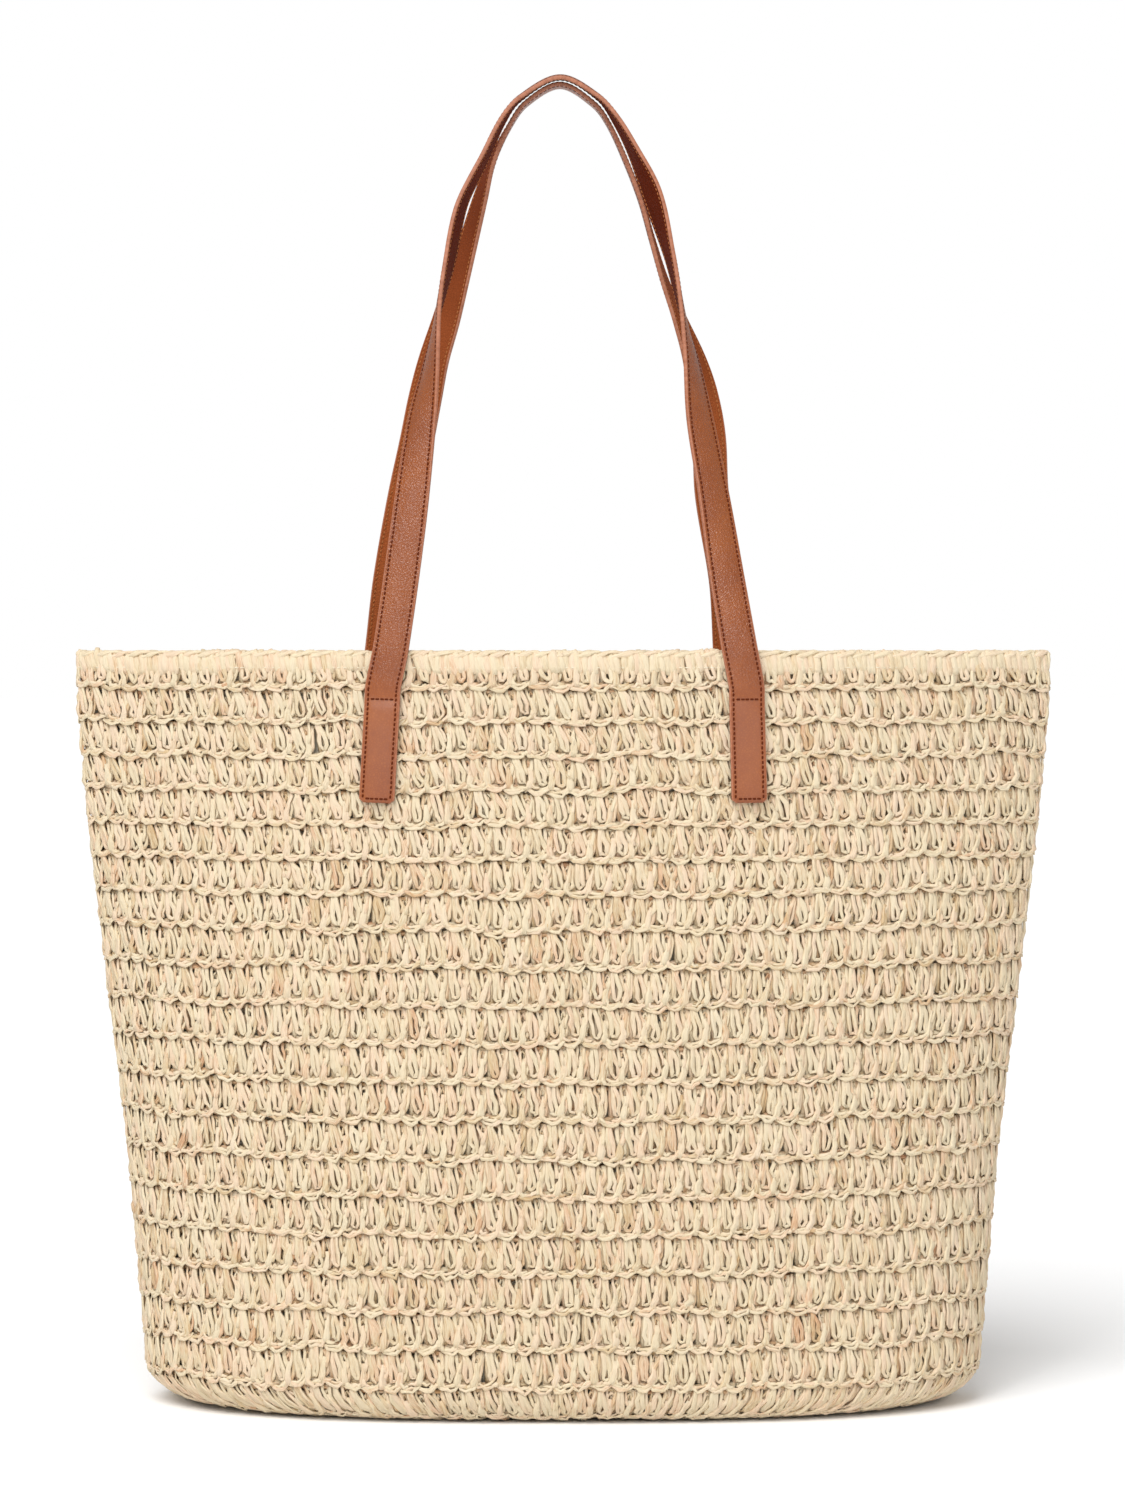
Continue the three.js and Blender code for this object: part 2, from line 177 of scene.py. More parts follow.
def evenly(path, count):
    """count points spread evenly along a closed path."""
    path = np.vstack([path, path[:1]])
    run = np.r_[0, np.cumsum(np.linalg.norm(np.diff(path, axis=0), axis=1))]
    at = np.arange(count) / count * run[-1]
    return np.stack([np.interp(at, run, path[:, k]) for k in (0, 1)], axis=1), run[-1]


def ring(q):
    wide, deep, square, taper, z = outline(q)
    across = np.sin(np.linspace(0, math.pi / 2, 300))
    depth = (1 - across ** square).clip(0) ** taper
    quarter = np.stack([wide * across, -deep * depth], axis=1)
    half = np.vstack([quarter, quarter[-2::-1] * (1, -1)])
    whole = np.vstack([half, half[-2:0:-1] * (-1, 1)])
    points, length = evenly(whole, RING_POINTS)
    blur = FOLD_RADIUS * RING_POINTS / length
    waves = np.fft.fftfreq(RING_POINTS) * 2 * math.pi
    flat = np.fft.ifft(np.fft.fft(points @ (1, 1j)) * np.exp(-0.5 * (blur * waves) ** 2))
    x = flat.real * wide / np.abs(flat.real).max()
    y = flat.imag * deep / np.abs(flat.imag).max()
    return np.stack([x, y, np.full(RING_POINTS, z)], axis=1)


class Surface:
    """The bag's outer surface, through the crests of the crochet's ridges."""

    def __init__(self):
        self.rows = np.arange(GRID_TOP, GRID_END - RING_STEP, -RING_STEP)
        self.points = np.stack([ring(q) for q in self.rows])
        around = np.roll(self.points, -1, 1) - np.roll(self.points, 1, 1)
        up = -np.gradient(self.points, axis=0)
        out = np.cross(around, up)
        self.normals = out / np.linalg.norm(out, axis=2, keepdims=True)
        steps = np.linalg.norm(np.roll(self.points, -1, 1) - self.points, axis=2)
        self.lengths = steps.sum(1)

    def sample(self, s, q):
        """Points and normals at shares s around and distances q, by bilinear steps."""
        i = np.clip((self.rows[0] - q) / RING_STEP, 0, len(self.rows) - 1.001)
        j = np.mod(s, 1) * RING_POINTS
        i0, j0 = np.floor(i).astype(int), np.floor(j).astype(int)
        a, b = (i - i0)[..., None], (j - j0)[..., None]
        j0, j1 = j0 % RING_POINTS, (j0 + 1) % RING_POINTS
        found = []
        for grid in (self.points, self.normals):
            high = grid[i0, j0] * (1 - b) + grid[i0, j1] * b
            low = grid[i0 + 1, j0] * (1 - b) + grid[i0 + 1, j1] * b
            found.append(high * (1 - a) + low * a)
        found[1] /= np.linalg.norm(found[1], axis=-1, keepdims=True)
        return found

    def place(self, s, q, d):
        """Points at height d above the surface, and the surface's normals there."""
        points, normals = self.sample(s, q)
        return points + normals * np.asarray(d)[..., None], normals

    def girth(self, q):
        return np.interp(-q, -self.rows, self.lengths)

    def share_at(self, x, z, side):
        """The share of the way around at which the ring at height z is x across."""
        s = np.linspace(-0.25, 0.25, 801) if side < 0 else np.linspace(0.75, 0.25, 801)
        points, _ = self.sample(s, np.full(801, float(z)))
        return np.interp(x, points[:, 0], s)


# ---------- meshes ----------

def put_in_scene(name, data):
    thing = bpy.data.objects.new(name, data)
    bpy.context.scene.collection.objects.link(thing)
    return thing


def make_object(name, points, faces, materials, sizes=None):
    """A mesh from points in millimetres and flat arrays of face corners."""
    faces = np.asarray(faces, np.int32)
    if sizes is None:
        sizes = np.full(len(faces), faces.shape[1], np.int32)
    corners = faces.ravel()
    mesh = bpy.data.meshes.new(name)
    mesh.vertices.add(len(points))
    mesh.vertices.foreach_set("co", (np.asarray(points) * MM).astype(np.float32).ravel())
    mesh.loops.add(len(corners))
    mesh.loops.foreach_set("vertex_index", corners)
    mesh.polygons.add(len(sizes))
    starts = np.r_[0, np.cumsum(sizes)[:-1]].astype(np.int32)
    mesh.polygons.foreach_set("loop_start", starts)
    mesh.polygons.foreach_set("loop_total", np.asarray(sizes, np.int32))
    mesh.polygons.foreach_set("use_smooth", np.full(len(sizes), True))
    mesh.update(calc_edges=True)
    mesh.validate()
    for material in materials:
        mesh.materials.append(material)
    return put_in_scene(name, mesh)


def add_attribute(piece, name, values):
    values = np.asarray(values, np.float32)
    kind, key = ("FLOAT", "value") if values.ndim == 1 else ("FLOAT_VECTOR", "vector")
    attribute = piece.data.attributes.new(name, kind, "POINT")
    attribute.data.foreach_set(key, values.ravel())


def add_lie(piece, across, down, layer=0):
    """Where the points of a two-sided sheet lie in its cloth."""
    lie = np.stack([across, down, np.full_like(across, layer)], axis=-1).reshape(-1, 3)
    add_attribute(piece, "lie", np.vstack([lie, lie]))


def unit(vectors):
    return vectors / np.maximum(np.linalg.norm(vectors, axis=-1, keepdims=True), 1e-9)


def tube_walls(index):
    """Quads around tubes, from the numbers of their points by step and side."""
    turned = np.roll(index, -1, -1)
    corners = (index[..., :-1, :], turned[..., :-1, :], turned[..., 1:, :], index[..., 1:, :])
    return np.stack(corners, axis=-1).reshape(-1, 4)


class Strands:
    """Tubes, each with its own cross-section, gathered for one mesh."""

    def __init__(self):
        self.points, self.faces, self.sizes = [], [], []
        self.fibre, self.tone, self.total = [], [], 0

    def add(self, centres, normals, widths, section, tone, seeds, roll=0.0):
        """Tubes along centres (tube, step, xyz). section holds points across and out of the
        strand in half widths; tone and roll, in radians, are one number for each tube."""
        count, steps, _ = centres.shape
        section = np.asarray(section)
        sides = len(section)
        along = unit(np.gradient(centres, axis=1))
        across = unit(np.cross(normals, along))
        out = np.cross(along, across)
        roll = np.broadcast_to(np.asarray(roll, float), (count,))[:, None, None]
        across, out = (across * np.cos(roll) + out * np.sin(roll),
                       out * np.cos(roll) - across * np.sin(roll))
        half = widths[..., None, None] / 2
        skin = centres[:, :, None] + half * (
            across[:, :, None] * section[None, None, :, 0, None]
            + out[:, :, None] * section[None, None, :, 1, None]
        )
        index = self.total + np.arange(count * steps * sides).reshape(count, steps, sides)
        walls = tube_walls(index)
        caps = np.vstack([index[:, 0, ::-1], index[:, -1]])
        self.points.append(skin.reshape(-1, 3))
        self.faces += [walls.ravel(), caps.ravel()]
        self.sizes += [np.full(len(walls), 4), np.full(len(caps), sides)]
        run = np.zeros((count, steps))
        run[:, 1:] = np.cumsum(np.linalg.norm(np.diff(centres, axis=1), axis=2), axis=1)
        around = section[None, None, :, 0] * widths[..., None] / 2
        fibre = np.stack(np.broadcast_arrays(
            run[..., None], around, seeds[:, None, None] * np.ones((1, steps, sides))), axis=-1)
        self.fibre.append(fibre.reshape(-1, 3))
        self.tone.append(np.broadcast_to(
            np.asarray(tone)[:, None, None], (count, steps, sides)).reshape(-1))
        self.total += count * steps * sides

    def make(self, name, materials):
        points = np.vstack(self.points)
        points[:, 2] = np.maximum(points[:, 2], FLOOR_CLEAR)
        piece = make_object(
            name, points, np.concatenate(self.faces), materials, np.concatenate(self.sizes))
        add_attribute(piece, "fibre", np.vstack(self.fibre))
        add_attribute(piece, "tone", np.concatenate(self.tone))
        return piece


# ---------- crochet ----------

# Cross-sections of a strand: across and outwards, in half widths.
ROUND_FRONT = (
    (1.0, -0.12), (0.78, 0.36), (0.0, 0.62), (-0.78, 0.36), (-1.0, -0.12), (0.0, -0.4),
)
CREASED = (
    (1.0, -0.1), (0.68, 0.5), (0.12, 0.3), (-0.4, 0.62), (-1.0, -0.05), (0.0, -0.4),
)
ROUND_CORD = (
    (1.0, 0.0), (0.72, 0.55), (0.0, 0.8), (-0.72, 0.55), (-1.0, 0.0), (-0.6, -0.6), (0.6, -0.6),
)
HIDDEN = ((1.0, 0.0), (0.0, 0.5), (-1.0, 0.0), (0.0, -0.5))

# The strands of one stitch. Each point is stitches across, the way down from one ridge (0)
# to the next (1), millimetres above the laid surface, and the strand's width.
SMILE = (
    (-0.66, -0.02, -0.8, 1.0), (-0.5, -0.055, 0.4, 1.4), (-0.3, -0.005, 1.2, 1.8),
    (-0.06, 0.045, 1.5, 2.0), (0.18, 0.045, 1.6, 2.0), (0.36, 0.0, 1.6, 1.8),
    (0.52, -0.07, 1.3, 1.5), (0.68, -0.12, 0.5, 1.0),
)
BROW = (
    (-0.58, -0.11, -0.2, 1.0), (-0.38, -0.07, 0.8, 1.4), (-0.12, -0.03, 1.2, 1.6),
    (0.14, -0.04, 1.3, 1.6), (0.34, -0.08, 1.1, 1.4), (0.5, -0.13, 0.2, 0.9),
)
HAIRPIN = (
    (-0.06, -0.01, 0.1, 1.9), (-0.07, 0.13, 0.8, 2.4), (-0.05, 0.34, 1.0, 2.7),
    (-0.02, 0.55, 0.9, 2.7), (-0.01, 0.71, 0.7, 2.4), (0.03, 0.79, 0.6, 2.0),
    (0.14, 0.82, 0.7, 1.9), (0.25, 0.8, 0.7, 2.1), (0.3, 0.7, 0.8, 2.4),
    (0.26, 0.53, 0.9, 2.8), (0.18, 0.34, 1.1, 2.8), (0.08, 0.14, 0.9, 2.4),
    (0.03, -0.01, 0.1, 1.9),
)
LEG_LEFT = (
    (0.33, 0.02, -0.6, 1.5), (0.35, 0.18, 0.0, 1.8), (0.41, 0.36, 0.5, 2.0),
    (0.49, 0.54, 0.8, 2.0),
)
LEG_RIGHT = (
    (0.78, 0.02, -0.8, 1.6), (0.77, 0.2, -0.1, 1.9), (0.71, 0.4, 0.5, 2.2),
    (0.61, 0.6, 0.8, 2.2),
)
LEG_FAR = (
    (0.86, 0.08, -0.9, 1.8), (0.85, 0.3, -0.3, 2.2), (0.82, 0.52, -0.1, 2.2),
    (0.73, 0.7, 0.2, 2.2), (0.62, 0.84, 0.5, 2.0),
)
POST = (
    (0.58, 0.34, 0.3, 2.0), (0.57, 0.54, 0.9, 2.8), (0.54, 0.7, 1.2, 3.6),
    (0.49, 0.84, 1.2, 3.8), (0.43, 0.96, 0.8, 3.0),
)
FAN_LEFT = (
    (0.5, 0.74, 0.9, 1.6), (0.4, 0.87, 1.2, 2.0), (0.24, 0.94, 1.3, 1.9),
    (0.06, 0.955, 1.1, 1.6), (-0.1, 0.95, 0.5, 1.0),
)
FAN_RIGHT = (
    (0.52, 0.74, 0.9, 1.6), (0.56, 0.87, 1.2, 2.0), (0.66, 0.94, 1.3, 1.9),
    (0.82, 0.945, 1.1, 1.6), (0.96, 0.93, 0.5, 1.0),
)
ARCH = (
    (0.45, 0.42, -0.7, 1.2), (0.47, 0.25, -0.3, 1.4), (0.56, 0.16, -0.2, 1.5),
    (0.65, 0.25, -0.3, 1.4), (0.66, 0.42, -0.7, 1.2),
)
UNDER_HIGH = (
    (-0.1, 0.06, -1.6, 3.0), (0.3, 0.11, -1.4, 3.4), (0.7, 0.09, -1.4, 3.4), (1.1, 0.1, -1.6, 3.0),
)
UNDER_LOW = (
    (-0.1, 0.92, -0.8, 3.4), (0.3, 0.9, -0.5, 3.8), (0.7, 0.93, -0.7, 3.4), (1.1, 0.92, -0.8, 3.4),
)
BACK_POST = (
    (-0.12, 0.05, -1.0, 3.0), (-0.13, 0.35, -0.6, 3.4), (-0.15, 0.6, -0.7, 3.6),
    (-0.13, 0.9, -1.1, 3.4),
)
BACK_LOOP = ((0.08, 0.3, -1.5, 3.0), (0.12, 0.5, -1.2, 3.4), (0.14, 0.8, -1.2, 3.4))
BACK_LEG = (
    (0.62, 0.05, -1.4, 3.8), (0.68, 0.3, -0.9, 4.2), (0.74, 0.5, -0.9, 4.0), (0.72, 0.74, -1.5, 2.8),
)
BACK_SIDE = (
    (0.36, 0.3, -1.4, 3.0), (0.4, 0.5, -1.1, 3.2), (0.4, 0.75, -1.1, 3.2), (0.34, 0.98, -1.4, 3.0),
)

FOOT = ((POST, 5, CREASED, 0.0), (FAN_LEFT, 5, ROUND_FRONT, 0.0), (FAN_RIGHT, 5, ROUND_FRONT, 0.0))

# Each strand's points, number of steps, cross-section, and how deep in shade it lies, which darkens its
# colour as painted shade.
STITCH = (
    (SMILE, 8, CREASED, 0.0),
    (BROW, 6, ROUND_FRONT, 0.0),
    (HAIRPIN, 13, CREASED, 0.0),
    (LEG_LEFT, 4, ROUND_FRONT, 0.0),
    (LEG_RIGHT, 4, ROUND_FRONT, 0.0),
    (LEG_FAR, 5, ROUND_FRONT, 0.15),
    *FOOT,
    (ARCH, 5, HIDDEN, 0.2),
    (UNDER_HIGH, 3, HIDDEN, 0.5),
    (UNDER_LOW, 3, HIDDEN, 0.25),
    (BACK_POST, 3, HIDDEN, 0.2),
    (BACK_LOOP, 3, HIDDEN, 0.25),
    (BACK_LEG, 3, HIDDEN, 0.1),
    (BACK_SIDE, 3, HIDDEN, 0.25),
)

# The highest course is worked tight: its upper part is a dense band of flattened strands.
BAND_STRANDS = tuple(
    (((x, -0.03, 0.2, 2.4), (x, 0.12, 0.7, w), (x + 0.02, 0.36, 0.8, w),
      (x + 0.03, 0.58, 0.3, w - 1.0)), 5, ROUND_FRONT, -0.1)
    for x, w in ((-0.12, 4.0), (0.14, 4.4), (0.42, 4.2), (0.66, 4.4))
)
SHORT_HAIRPIN = (
    (-0.08, 0.30, 0.2, 2.0), (-0.06, 0.48, 0.8, 2.5), (-0.04, 0.66, 0.8, 2.5),
    (0.02, 0.765, 0.7, 2.2), (0.12, 0.79, 0.8, 2.2), (0.23, 0.76, 0.8, 2.3),
    (0.27, 0.64, 0.9, 2.6), (0.22, 0.46, 0.9, 2.6), (0.12, 0.28, 0.2, 2.0),
)
TOP_STITCH = BAND_STRANDS + (
    (SHORT_HAIRPIN, 11, ROUND_FRONT, 0.0),
    (LEG_FAR, 5, ROUND_FRONT, 0.1),
    *FOOT,
    (UNDER_LOW, 3, HIDDEN, 0.4),
    (BACK_POST, 3, HIDDEN, 0.2),
    (BACK_LEG, 3, HIDDEN, 0.1),
    (BACK_SIDE, 3, HIDDEN, 0.25),
)

# The cord around the mouth: two strands twisted together.
RIM_TWISTS = 52
RIM_RADIUS = 1.05
RIM_STEPS = 14  # for each half twist
RIM_STRAND = 2.5
RIM_DROP = 2.2  # from the mouth's edge to the cord's middle
RIM_INSET = 2.3
SEAM_DROP = 8.5  # from the mouth's edge to the machine stitching

# How much one stitch and one strand point wander, in the terms of the strand points above.
STITCH_SHIFT = 0.06
STITCH_DROP = 0.022
STITCH_LEAN = 0.1
POINT_JITTER = (0.04, 0.022, 0.2, 0.28)


def spline_weights(controls, steps):
    """Weights of a Catmull-Rom curve's control points, at evenly spread steps."""
    at = np.linspace(0, controls - 1, steps)
    i = np.minimum(np.floor(at).astype(int), controls - 2)
    t = at - i
    parts = (
        -0.5 * t + t ** 2 - 0.5 * t ** 3,
        1 - 2.5 * t ** 2 + 1.5 * t ** 3,
        0.5 * t + 2 * t ** 2 - 1.5 * t ** 3,
        -0.5 * t ** 2 + 0.5 * t ** 3,
    )
    weights = np.zeros((steps, controls))
    for shift, part in zip((-1, 0, 1, 2), parts):
        np.add.at(weights, (np.arange(steps), np.clip(i + shift, 0, controls - 1)), part)
    return weights


def ridge_heights():
    """Distances of the ridges, from the highest on the wall to the last in the base's middle."""
    heights = [FIRST_RIDGE]
    for _ in range(WALL_COURSES - 1):
        z = heights[-1]
        closer = smooth_step(200, 265, z)
        heights.append(z + TALL_COURSE + (SHORT_COURSE - TALL_COURSE) * closer)
    below = [FIRST_RIDGE - TALL_COURSE * (k + 1) for k in range(BASE_COURSES + 1)]
    return np.array(heights[::-1] + below + [GRID_END + CLOSING_GAP])


class Wander:
    """Slow waves around the bag that keep one ridge from running dead level."""

    def __init__(self, size, slowest, fastest, count):
        self.turns = RNG.integers(slowest, fastest, count)
        self.phases = RNG.uniform(0, 2 * math.pi, count)
        self.drift = RNG.uniform(-1.6, 1.6, count)
        self.sizes = size * RNG.uniform(0.5, 1, count) / math.sqrt(count / 2)

    def at(self, s, course):
        total = 0
        for turns, phase, drift, size in zip(self.turns, self.phases, self.drift, self.sizes):
            total = total + size * np.sin(2 * math.pi * turns * s + phase + drift * course)
        return total


def lay_stitches(strands, surface, upper, lower, course, count, stitch, wander):
    """One course of stitches between two ridges."""
    columns = np.arange(count)
    shift = RNG.normal(0, STITCH_SHIFT, (count, 1))
    drop = RNG.normal(0, STITCH_DROP, (count, 1))
    slant = 0.04 + 0.2 * smooth_step(250, 340, upper)
    lean = RNG.normal(slant, STITCH_LEAN, (count, 1))
    size = RNG.normal(1, 0.06, (count, 1))
    drift = -0.05 * course
    for controls, steps, section, shade in stitch:
        controls = np.array(controls)
        jitter = RNG.normal(0, 1, (count, *controls.shape)) * POINT_JITTER
        laid = np.einsum("km,nmc->nkc", spline_weights(len(controls), steps), controls + jitter)
        across, down, height, width = np.moveaxis(laid, 2, 0)
        across = across + shift + lean * (down - 0.5) + drift
        down = down + drop
        s = (columns[:, None] + across) / count
        high = upper + wander.at(s, course)
        low = lower + wander.at(s, course + 1)
        q = high + (low - high) * down
        centres, normals = surface.place(s, q, height + SINK)
        # painted shade: strands that lie deep behind others get a darker tone; the random part is the
        # straw's own tone
        tone = np.clip(RNG.normal(0, 0.16, count), -0.5, 0.5) - shade
        seeds = RNG.uniform(0, 1000, count)
        roll = RNG.normal(0, 0.22, count)
        strands.add(centres, normals, width * size, section, tone, seeds, roll)


def make_crochet(surface, straw):
    ridges = ridge_heights()
    tops = np.r_[HEIGHT - 1.5, ridges[:-1]]
    wander = Wander(0.8, 9, 24, 6)
    pieces = []
    strands = Strands()
    for course, (upper, lower) in enumerate(zip(tops, ridges)):
        if course <= WALL_COURSES:
            count = STITCHES
        else:
            middle = surface.girth((upper + lower) / 2)
            count = round(middle / (surface.girth(200) / STITCHES))
        stitch = STITCH if course else TOP_STITCH
        lay_stitches(strands, surface, upper, lower, course, count, stitch, wander)
        if (course % 2 and course < len(ridges) - 2) or course == len(ridges) - 1:
            pieces.append(strands.make(f"crochet_courses_{len(pieces):02d}", [straw]))
            strands = Strands()
    return pieces


def make_rim(surface, straw, thread):
    """The twisted cord around the mouth, and the machine stitching just below it."""
    steps = RIM_TWISTS * 2 * RIM_STEPS
    strands = Strands()
    s = np.arange(steps + 1) / steps
    centre = HEIGHT - RIM_DROP
    slow = Wander(0.35, 20, 60, 5)
    for phase in (0, math.pi):
        turn = 2 * math.pi * RIM_TWISTS * s + phase + slow.at(s, 0)
        lift = RIM_RADIUS * np.sin(turn)
        q = centre + lift * 1.1
        depth = -RIM_INSET + RIM_RADIUS * np.cos(turn)
        centres, normals = surface.place(s, np.full(len(s), centre), depth)
        centres[:, 2] = q
        width = RIM_STRAND + 0.35 * np.sin(turn * 3.1) + slow.at(s * 1.7, 1)
        width[-1] = width[0]
        outward = normals * np.cos(turn)[:, None] + np.array((0, 0, 1)) * np.sin(turn)[:, None]
        strands.add(centres[None], outward[None], width[None], ROUND_CORD, np.array([0.05]),
                    np.array([phase * 90]))
    rim = strands.make("rim_cord", [straw])
    strands = Strands()
    line, normals = surface.place(s, np.full(len(s), HEIGHT - SEAM_DROP), np.full(len(s), -1.2))
    sew(strands, line, normals, 3.1, 0.55)
    return rim, strands.make("rim_stitches", [thread])


# ---------- materials ----------

class Nodes:
    """A short way to write a material's nodes."""

    def __init__(self, name):
        self.material = bpy.data.materials.new(name)
        self.material.use_nodes = True
        self.tree = self.material.node_tree
        self.shader = self.tree.nodes["Principled BSDF"]

    def add(self, kind, inputs=None, **settings):
        node = self.tree.nodes.new(kind)
        for key, value in settings.items():
            setattr(node, key, value)
        for key, value in (inputs or {}).items():
            self.put(value, node.inputs[key])
        return node

    def put(self, value, socket):
        if isinstance(value, bpy.types.NodeSocket):
            self.tree.links.new(value, socket)
        else:
            socket.default_value = value

    def attribute(self, name, output="Vector"):
        return self.add("ShaderNodeAttribute", attribute_name=name).outputs[output]

    def stretch(self, vector, by):
        node = self.add("ShaderNodeVectorMath", {0: vector, 1: by}, operation="MULTIPLY")
        return node.outputs[0]

    def math(self, operation, a, b=0.0, c=0.0, clamp=False):
        node = self.add("ShaderNodeMath", {0: a, 1: b, 2: c}, operation=operation)
        node.use_clamp = clamp
        return node.outputs[0]

    def noise(self, vector, scale, detail=2.0, roughness=0.5):
        node = self.add("ShaderNodeTexNoise", {
            "Vector": vector, "Scale": scale, "Detail": detail, "Roughness": roughness})
        return node.outputs["Fac"]

    def ramp(self, value, *stops):
        """Colours at places from 0 to 1, given as 8-bit display colours."""
        node = self.add("ShaderNodeValToRGB", {0: value})
        elements = node.color_ramp.elements
        while len(elements) < len(stops):
            elements.new(0.5)
        for element, (place, colour) in zip(elements, stops):
            element.position = place
            element.color = (*linear(*colour), 1)
        return node.outputs["Color"]

    def mix(self, share, a, b, blend="MIX"):
        node = self.add("ShaderNodeMix", data_type="RGBA", blend_type=blend)
        self.put(share, node.inputs[0])
        self.put(a, node.inputs[6])
        self.put(b, node.inputs[7])
        return node.outputs[2]

    def bump(self, height, strength, distance):
        node = self.add("ShaderNodeBump", {
            "Strength": strength, "Distance": distance, "Height": height})
        return node.outputs["Normal"]

    def set(self, **values):
        for key, value in values.items():
            self.put(value, self.shader.inputs[key.replace("_", " ")])
        return self.material


def linear(red, green, blue):
    """Linear light from 8-bit display colours."""
    def one(value):
        value /= 255
        return value / 12.92 if value <= 0.04045 else ((value + 0.055) / 1.055) ** 2.4
    return one(red), one(green), one(blue)


def straw_material():
    n = Nodes("paper_straw")
    fibre = n.attribute("fibre")
    creases = n.noise(n.stretch(fibre, (0.22, 2.4, 1.0)), 1.0, 3.0, 0.6)
    tone = n.math("MULTIPLY_ADD", n.attribute("tone", "Fac"), 0.5, 0.5)
    blend = n.math("MULTIPLY_ADD", n.math("SUBTRACT", creases, 0.5), 0.9, tone)
    plain = n.ramp(
        blend,
        (0.0, (170, 128, 84)),
        (0.26, (207, 179, 137)),
        (0.46, (225, 208, 176)),
        (1.0, (232, 219, 192)),
    )
    pinker = n.ramp(
        blend,
        (0.0, (170, 112, 74)),
        (0.26, (211, 171, 133)),
        (0.46, (229, 204, 175)),
        (1.0, (234, 217, 192)),
    )
    patches = n.noise(n.stretch(fibre, (0.04, 0.0, 3.7)), 1.0, 1.0, 0.5)
    share = n.ramp(patches, (0.45, (0, 0, 0)), (0.62, (255, 255, 255)))
    return n.set(
        Base_Color=n.mix(share, plain, pinker), Roughness=0.72, Specular_IOR_Level=0.35,
        Normal=n.bump(creases, 0.7, 0.0009))


def leather_nodes(name):
    """Pebbled, creased leather; the flat tabs are smoother than the padded strap."""
    n = Nodes(name)
    lie = n.attribute("lie")
    padded = n.math("DIVIDE", n.attribute("rise", "Fac"), 14.0, clamp=True)
    cells = n.add("ShaderNodeTexVoronoi", {
        "Vector": lie, "Scale": 0.8, "Randomness": 1.0}, feature="DISTANCE_TO_EDGE")
    grain = n.math("MINIMUM", n.math("MULTIPLY", cells.outputs["Distance"], 3.2), 1.0)
    turned = n.add("ShaderNodeMapping", {
        "Vector": lie, "Rotation": (0, 0, 0.6), "Scale": (0.28, 0.9, 1.0)})
    creases = n.noise(turned.outputs["Vector"], 1.0, 3.0, 0.6)
    cloud = n.noise(lie, 0.035, 3.0, 0.55)
    relief = n.math("MULTIPLY", n.math("MULTIPLY_ADD", creases, 2.5, grain), padded)
    relief = n.math("MULTIPLY_ADD", n.noise(lie, 2.2, 3.0, 0.6), 0.4, relief)
    # painted shade: the grain term lightens the raised pebbles and darkens their edges; the cloud is the
    # leather's own uneven tone
    shade = n.math("MULTIPLY_ADD", cloud, 0.7, n.math("MULTIPLY", grain, 0.2))
    shade = n.math("MULTIPLY_ADD", creases, 0.15, shade)
    return n, shade, n.bump(relief, 0.8, 0.0002)


def leather_face():
    n, shade, normal = leather_nodes("leather_face")
    colour = n.ramp(
        shade, (0.2, (120, 54, 12)), (0.55, (142, 71, 18)),
        (0.85, (160, 87, 29)))
    return n.set(Base_Color=colour, Roughness=0.29, Specular_IOR_Level=0.65, Normal=normal)


def leather_back(name, painted_shade_heights):
    """The underside, darkened by painted shade between two heights above the stitch line."""
    n, shade, normal = leather_nodes(name)
    unshaded = n.ramp(shade, (0.2, (140, 70, 34)), (0.8, (164, 90, 50)))
    # painted shade: the underside is painted darker higher up, where it faces down out of the light
    painted_shade = n.ramp(shade, (0.2, (72, 21, 4)), (0.8, (100, 35, 9)))
    low, high = painted_shade_heights
    rise = n.attribute("rise", "Fac")
    share = n.math("DIVIDE", n.math("SUBTRACT", rise, low), high - low, clamp=True)
    return n.set(Base_Color=n.mix(share, unshaded, painted_shade), Roughness=0.7,
                 Specular_IOR_Level=0.04, Normal=normal)


def leather_edge():
    n = Nodes("leather_edge")
    worn = n.noise(n.attribute("lie"), 0.5, 4.0, 0.6)
    colour = n.ramp(worn, (0.25, (146, 86, 58)), (0.75, (182, 118, 88)))
    return n.set(Base_Color=colour, Roughness=0.5, Normal=n.bump(worn, 0.3, 0.0004))


def thread_material():
    n = Nodes("thread")
    tone = n.attribute("tone", "Fac")
    fibre = n.attribute("fibre")
    twist = n.add("ShaderNodeTexWave", {
        "Vector": fibre, "Scale": 1.1, "Distortion": 0.0}, wave_type="BANDS", bands_direction="DIAGONAL")
    colour = n.ramp(tone, (0.0, (92, 36, 12)), (1.0, (170, 104, 60)))
    return n.set(Base_Color=colour, Roughness=0.7, Specular_IOR_Level=0.1,
                 Normal=n.bump(twist.outputs["Fac"], 0.4, 0.0002))


# ---------- handles ----------

# How each handle runs from its left tab over to its right one: across from the bag's middle,
# the lean in from the depth of the stitch line, the rise above it, and the turn of the
# leather in degrees, from 0 edge-on to the front to 90 flat against the bag.
FRONT_ROUTE = (
    (-87.6, 0, 0.8, 82), (-87.3, 0, 6, 82), (-83.3, 0, 26, 83), (-76.1, 8, 79, 80),
    (-69.3, 20, 136, 53), (-66, 24, 157, 32), (-60.8, 31, 193, 0), (-56, 36, 217, -13),
    (-52.2, 40.5, 237.3, -14), (-48.5, 43.2, 249.2, -11), (-39.1, 46.6, 268.3, -8),
    (-29.8, 50, 288, -3), (-21.2, 52.4, 299, 3), (-1.5, 54, 309.4, 6.5), (17, 52.4, 299.8, 3),
    (26, 50, 288.5, -5), (34.8, 46.7, 272.1, -13), (44.5, 42.8, 249.1, -28),
    (52.7, 37.3, 219.7, -12), (58.2, 31, 192, 0), (63, 26.5, 168, 22), (67.4, 20, 136, 48),
    (73.4, 12, 101, 58), (79.7, 5.5, 60, 74), (85.4, 0, 26, 83), (89.1, 0, 6, 82),
    (89.2, 0, 0.8, 82),
)
